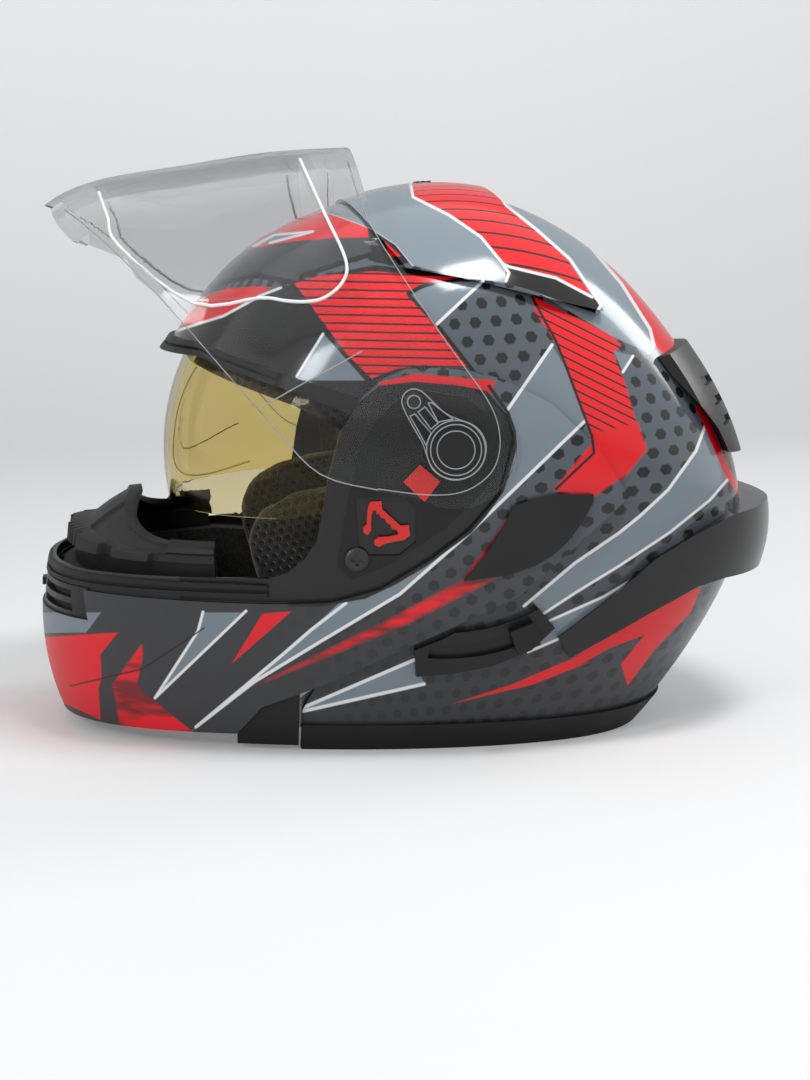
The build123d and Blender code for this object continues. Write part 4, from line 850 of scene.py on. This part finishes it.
def along_paths(name, group, size, paths, body, slot_name, closed=False):
    """A piece that geometry nodes make along some lists of points."""
    mesh = bpy.data.meshes.new(name)
    points, edges = [], []
    for path in paths:
        first = len(points)
        points += [tuple(point) for point in path]
        edges += [(i, i + 1) for i in range(first, len(points) - 1)]
        if closed:
            edges.append((len(points) - 1, first))
    mesh.from_pydata(points, edges, [])
    piece = add_object(name, mesh)
    modifier = piece.modifiers.new("made", "NODES")
    modifier.node_group = group
    inputs = [item.identifier for item in group.interface.items_tree if item.in_out == "INPUT"]
    modifier[inputs[1]] = size
    modifier[inputs[2]] = FINISHES[slot_name]
    make_plain(piece)
    finish_piece(piece, body, slot_name)


def on_surface(nodes, pixels, lift):
    """Where the photograph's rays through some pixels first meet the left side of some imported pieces."""
    trees = []
    for node in nodes:
        work = joined_mesh(node)
        trees.append(BVHTree.FromBMesh(work))
        work.free()
    eye, right, up, back = view_axes()
    found = []
    for across, down in pixels:
        ray = right * (across - IMAGE_SIZE[0] / 2) + up * (IMAGE_SIZE[1] / 2 - down) - back * FOCUS_PIXELS
        hits = [tree.ray_cast(eye, ray.normalized())[:2] for tree in trees]
        hits = [hit for hit in hits if hit[0] and hit[0].y < 0]
        if hits:
            place, normal = min(hits, key=lambda hit: (hit[0] - eye).length)
            found.append(place + normal * lift)
    return found


def denser(corners, steps=5):
    """An outline's corners with even points on its sides."""
    points = []
    for (x, y), (next_x, next_y) in zip(corners, corners[1:] + corners[:1]):
        points += [(x + (next_x - x) * i / steps, y + (next_y - y) * i / steps) for i in range(steps)]
    return points


def round_outline(across, down, radius):
    """A ring's corners in the photograph."""
    turns = [2 * pi * i / RING_CORNERS for i in range(RING_CORNERS)]
    return [(across + radius * cos(turn), down + radius * sin(turn)) for turn in turns]


def mirrored(points):
    """The same points on the other side of the helmet."""
    return [Vector((point.x, -point.y, point.z)) for point in points]


def smooth_bump(value, centre, reach):
    """1 at a centre, and 0 beyond its reach."""
    share = min(1.0, abs(value - centre) / reach)
    return 1 - share * share * (3 - 2 * share)


# Soft pads
def soft_pad(node, shrink, cap, fill, channels):
    """A pad blown up from its packed space, with sewn channels that run front to back."""
    work = joined_mesh(node)
    for vertex in work.verts:
        vertex.co -= vertex.normal * shrink
    piece = from_work(node + "_cushion", work)
    remesh = piece.modifiers.new("even", "REMESH")
    remesh.mode, remesh.voxel_size = "VOXEL", PAD_VOXEL
    make_plain(piece)
    blow_up(piece, cap)
    for vertex in piece.data.vertices:
        for side in channels:
            near = smooth_bump(vertex.co.y, side, CHANNEL_WIDTH)
            vertex.co -= vertex.normal * CHANNEL_DEPTH * near
    finer = piece.modifiers.new("finer", "SUBSURF")
    finer.levels = finer.render_levels = 1
    make_plain(piece)
    finish_piece(piece, frame["nodes"][node]["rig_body"], "pad_fabric", [node])


def blow_up(piece, cap):
    """Inflates a pad as cloth, no point moving further than a cap."""
    start = [vertex.co.copy() for vertex in piece.data.vertices]
    cloth = piece.modifiers.new("swell", "CLOTH")
    cloth.settings.use_pressure = True
    cloth.settings.uniform_pressure_force = PAD_PRESSURE
    cloth.settings.effector_weights.gravity = 0.0
    for step in range(PAD_FRAMES):
        bpy.context.scene.frame_set(step + 1)
    make_plain(piece)
    for vertex, place in zip(piece.data.vertices, start):
        move = vertex.co - place
        if move.length > cap:
            vertex.co = place + move * (cap / move.length)
    bpy.context.scene.frame_set(1)


def ribbon(name, route):
    """A flat strap along a route in a plane across the helmet, with rounded edges."""
    work = bmesh.new()
    rings = []
    for i, place in enumerate(route):
        before, after = route[max(i - 1, 0)], route[min(i + 1, len(route) - 1)]
        along = (after - before).normalized()
        normal = along.cross(LENGTHWAYS)
        corners = [place + LENGTHWAYS * (x * STRAP_WIDTH) + normal * z * STRAP_THICKNESS
                   for x, z in STRAP_SECTION]
        rings.append([work.verts.new(corner) for corner in corners])
    skin(work, rings)
    return from_work(name, work)


def smooth_route(corners, steps):
    """Points along a gentle curve that starts and ends at the first and last corners."""
    route = []
    for first, middle, last in zip(corners, corners[1:], corners[2:]):
        start = first if first is corners[0] else (first + middle) / 2
        stop = last if last is corners[-1] else (middle + last) / 2
        for step in range(steps):
            share = step / steps
            route.append(start.lerp(middle, share).lerp(middle.lerp(stop, share), share))
    return route + [corners[-1]]


def strap(side, name, end, stitches):
    """One webbing strap, from its anchor over the pad to the buckle."""
    corners = [Vector((STRAP_X, side * y, z)) for y, z in STRAP_ROUTE] + [Vector((STRAP_X, end, BUCKLE_Z))]
    route = smooth_route(corners, STRAP_STEPS)
    finish_piece(ribbon(name, route), "shell", "webbing", [name.replace("webbing", "chin_strap")])
    for edge, label in ((-1, "front"), (1, "rear")):
        shift = LENGTHWAYS * (edge * STRAP_WIDTH * STITCH_LINE)
        paths = []
        for face in (-1, 1):
            path = []
            for place, following in zip(route, route[1:]):
                normal = (following - place).normalized().cross(LENGTHWAYS)
                path.append(place + shift + normal * face * STRAP_THICKNESS / 2)
            paths.append(path)
        along_paths(f"{name}_{label}_stitches", stitches, STITCH_PITCH, paths, "shell", "webbing")


# Nose guard on the chin bar
def nose_guard():
    """Moulded guard: a wall with blocks and ribs, and a hood that rises to an arched rim before the nose."""
    work = bmesh.new()
    rings = []
    for step in range(-GUARD_STEPS, GUARD_STEPS + 1):
        turn = WING_SPAN * step / GUARD_STEPS
        outward = Vector((-cos(turn), sin(turn), 0.0))
        foot = Vector((GUARD_CENTRE - GUARD_LONG * cos(turn), GUARD_WIDE * sin(turn), 0.0))
        section = guard_section(abs(degrees(turn)))
        corners = [foot - outward * inward + Vector((0.0, 0.0, height)) for inward, height in section]
        rings.append([work.verts.new(corner) for corner in corners])
    skin(work, rings)
    piece = from_work("nose_guard", work)
    edges = piece.modifiers.new("edges", "BEVEL")
    edges.width, edges.segments = GUARD_EDGE, 2
    edges.limit_method, edges.angle_limit = "ANGLE", GUARD_SHARP
    make_plain(piece)
    finish_piece(piece, "chin_bar", "rubber", ["breath_deflector"])
    piece.data.set_sharp_from_angle(angle=GUARD_SHARP)


def guard_section(lean):
    """The guard's section at some degrees from the front, as distances inward and heights."""
    wall = GUARD_WALL
    arch = smooth_bump(lean, 0.0, degrees(GUARD_SPAN))
    if lean > degrees(GUARD_SPAN):
        reach, rise = WING_REACH * wall, WING_RISE
    else:
        reach = END_REACH + (HOOD_REACH - END_REACH) * arch
        rise = END_RISE + (HOOD_RISE - END_RISE) * arch
    out = 0.0
    if any(low <= lean <= high for low, high in BLOCKS):
        out = BLOCK_OUT
    elif RIB_SPAN[0] <= lean <= RIB_SPAN[1] and lean % RIB_PITCH < RIB_PITCH / 2:
        out = RIB_OUT
    sunk = PANEL_DEEP if PANEL_SPAN[0] <= lean <= PANEL_SPAN[1] else 0.0
    shelf = min(HOOD_STEP * arch, reach - 2 * wall)
    wall_top = GUARD_LOW + WALL_SHARE * rise + SHOULDER_UP * wall
    rim = GUARD_LOW + rise
    lip = reach - min(HOOD_BAND, BAND_SHARE * reach)
    panel = (shelf + lip) / 2
    middle = (wall_top + rim) / 2
    return (
        (OUTER_FACE * wall, GUARD_FOOT),
        (OUTER_FACE * wall, GUARD_LOW),
        (-out, GUARD_LOW),
        (SHOULDER_IN * wall - out, wall_top),
        (shelf + LEDGE_IN * wall, wall_top + LEDGE_UP * wall),
        (shelf + PANEL_IN * wall, wall_top + LEDGE_UP * wall - sunk),
        (panel, middle - sunk),
        (lip, rim - LIP_DOWN * wall - sunk),
        (lip, rim),
        (reach, rim + RIM_UP * wall),
        (reach + RIM_IN * wall, rim - RIM_DOWN * wall),
        (panel + HOOD_IN * wall, middle - HOOD_DOWN * wall),
        (INNER_FACE * wall, GUARD_LOW),
        (INNER_FACE * wall, GUARD_FOOT),
    )


# Screw heads
def screw_heads():
    """Round heads with cross recesses on the four base plate screws."""
    work = bmesh.new()
    for side in (-1, 1):
        for x, z, radius, top in SCREWS:
            cross_head(work, Vector((x, side * top, z)), side, radius)
    bmesh.ops.recalc_face_normals(work, faces=work.faces)
    piece = from_work("screw_heads", work)
    finish_piece(piece, "chin_bar", "black_steel")
    piece.data.shade_flat()


def cross_head(work, centre, side, radius):
    """A domed rim, a flat face with a cross cut in it, and the cut's walls and floor."""
    slot, reach = CROSS_WIDE * radius, CROSS_LONG * radius
    cross = [(slot, slot), (slot, reach), (-slot, reach), (-slot, slot), (-reach, slot), (-reach, -slot),
             (-slot, -slot), (-slot, -reach), (slot, -reach), (slot, -slot), (reach, -slot), (reach, slot)]
    turns = [2 * pi * i / HEAD_SIDES for i in range(HEAD_SIDES)]
    edge = [(radius * cos(turn), radius * sin(turn)) for turn in turns]
    flat = [(FACE_SHARE * radius * cos(turn), FACE_SHARE * radius * sin(turn)) for turn in turns]

    def ring(points, out):
        return [work.verts.new(centre + Vector((x, side * out, z))) for x, z in points]

    face, cut, base = ring(flat, FACE_OUT), ring(cross, FACE_OUT), ring(cross, CROSS_FLOOR)
    rim, foot = ring(edge, EDGE_OUT), ring(edge, HEAD_FOOT)
    every = face + cut
    outlines = [[Vector((*point, 0.0)) for point in points] for points in (flat, cross)]
    for corners in tessellate_polygon(outlines):
        work.faces.new([every[corner] for corner in corners])
    for low, high in ((face, rim), (rim, foot), (cut, base)):
        for i in range(len(low)):
            j = (i + 1) % len(low)
            work.faces.new((low[i], low[j], high[j], high[i]))
    work.faces.new(base)
    work.faces.new(foot)


# Lines on the visors
def visor_lines(beads):
    """Film edge, raised outlines and edge lines of the clear visor, and the sun visor's moulded step."""
    outlines = [round_outline(*HUB, radius) for radius in HUB_RINGS]
    outlines += [TEAR_EDGE, round_outline(*TEAR_END)] + [denser(window) for window in TEAR_WINDOWS]
    rims = [VISOR_NEAR_RIM, VISOR_REAR_RIM]
    hub_nodes = ["visor", "hub_cap_left", "visor_base_plate_left"]
    # The clear_edge and amber_edge beads are real raised rims, creases and steps, tinted to paint the bright
    # and dark lines that they show in light.
    lines = (
        ("film_edge", ["visor"], [FILM_EDGE], 0.3, 0.75, "clear_visor", "film_print"),
        ("visor_crease", ["visor"], [VISOR_CREASE], 0.1, 0.3, "clear_visor", "clear_edge"),
        ("visor_outlines", hub_nodes, outlines, 0.1, 0.28, "clear_visor", "clear_edge"),
        ("visor_rims", ["visor"], rims, 0.1, 0.25, "clear_visor", "clear_edge"),
        ("sun_visor_step", ["sun_visor"], [SUN_STEP], 0.05, 0.35, "inner_visor", "amber_edge"),
    )
    for name, nodes, shapes, lift, radius, body, slot_name in lines:
        paths = [on_surface(nodes, shape, lift * MM) for shape in shapes]
        paths += [mirrored(path) for path in paths]
        along_paths(name, beads, radius * MM, paths, body, slot_name, closed=name == "visor_outlines")


# Camera, light and floor
def camera():
    """The photograph's camera."""
    eye, right, up, back = view_axes()
    data = bpy.data.cameras.new("camera")
    data.sensor_width = SENSOR_WIDTH
    data.lens = data.sensor_width * FOCUS_PIXELS / max(IMAGE_SIZE)
    data.clip_start = 0.05
    piece = add_object("camera", data)
    piece.matrix_world = Matrix.Translation(eye) @ Matrix((right, up, back)).transposed().to_4x4()
    bpy.context.scene.camera = piece


def lamp(name, place, target, size, power):
    """A soft box that faces its target."""
    data = bpy.data.lights.new(name, "AREA")
    data.shape = "RECTANGLE"
    data.size, data.size_y = size
    data.energy = power
    piece = add_object(name, data)
    piece.location = place
    piece.rotation_euler = (Vector(target) - Vector(place)).to_track_quat("-Z", "Y").to_euler()


def world():
    """White light all round, brighter where it is seen directly, by reflection or through the visors."""
    made = bpy.data.worlds.new("studio")
    bpy.context.scene.world = made
    made.use_nodes = True
    tree = Tree(made.node_tree)
    path = tree.add("ShaderNodeLightPath").outputs
    seen = tree.math("MAXIMUM", path["Is Camera Ray"], path["Is Transmission Ray"])
    seen = tree.math("MAXIMUM", seen, path["Is Glossy Ray"])
    strength = tree.between(seen, 0.0, 1.0, WORLD_LIGHT, WORLD_SEEN)
    ground = made.node_tree.nodes["Background"]
    ground.inputs["Color"].default_value = (1.0, 1.0, 1.0, 1.0)
    tree.tree.links.new(strength, ground.inputs["Strength"])


def floor():
    """A pale sweep that rises far behind the helmet."""
    bend, far, wide, tall, steps = 0.6, 1.3, 3.0, 2.2, 16
    section = [(-wide, 0.0)]
    for step in range(steps + 1):
        turn = pi / 2 * step / steps
        section.append((far + bend * sin(turn), bend * (1 - cos(turn))))
    section.append((far + bend, tall))
    mesh = bpy.data.meshes.new("floor")
    corners = [(side * wide, y, z) for y, z in section for side in (-1, 1)]
    faces = [(2 * i, 2 * i + 1, 2 * i + 3, 2 * i + 2) for i in range(len(section) - 1)]
    mesh.from_pydata(corners, [], faces)
    mesh.shade_smooth()
    piece = add_object("floor", mesh)
    made, tree, shader = material("floor_paper", Roughness=0.75)
    tone(tree, shader, tree.noise(3.0, 3.0, tree.place()), FLOOR_TONES)
    shader.inputs["Emission Color"].default_value = FLOOR_GLOW
    glow = tree.between(tree.parts(tree.place())[2], 0.0, GLOW_TOP, GLOW_LOW, GLOW_HIGH)
    seen = tree.add("ShaderNodeLightPath").outputs["Is Camera Ray"]
    plug(tree, tree.math("MULTIPLY", seen, glow), shader, "Emission Strength")
    mesh.materials.append(made)


def studio():
    """Plain light, floor and lamps."""
    bpy.context.scene.view_settings.view_transform = "Standard"
    world()
    floor()
    for row in LAMPS:
        lamp(*row)


camera()
studio()
dress_nodes()
beads, stitches = bead_tree(), stitch_tree()
for row in PADS:
    soft_pad(*row)
for row in STRAPS:
    strap(*row, stitches)
nose_guard()
screw_heads()
visor_lines(beads)
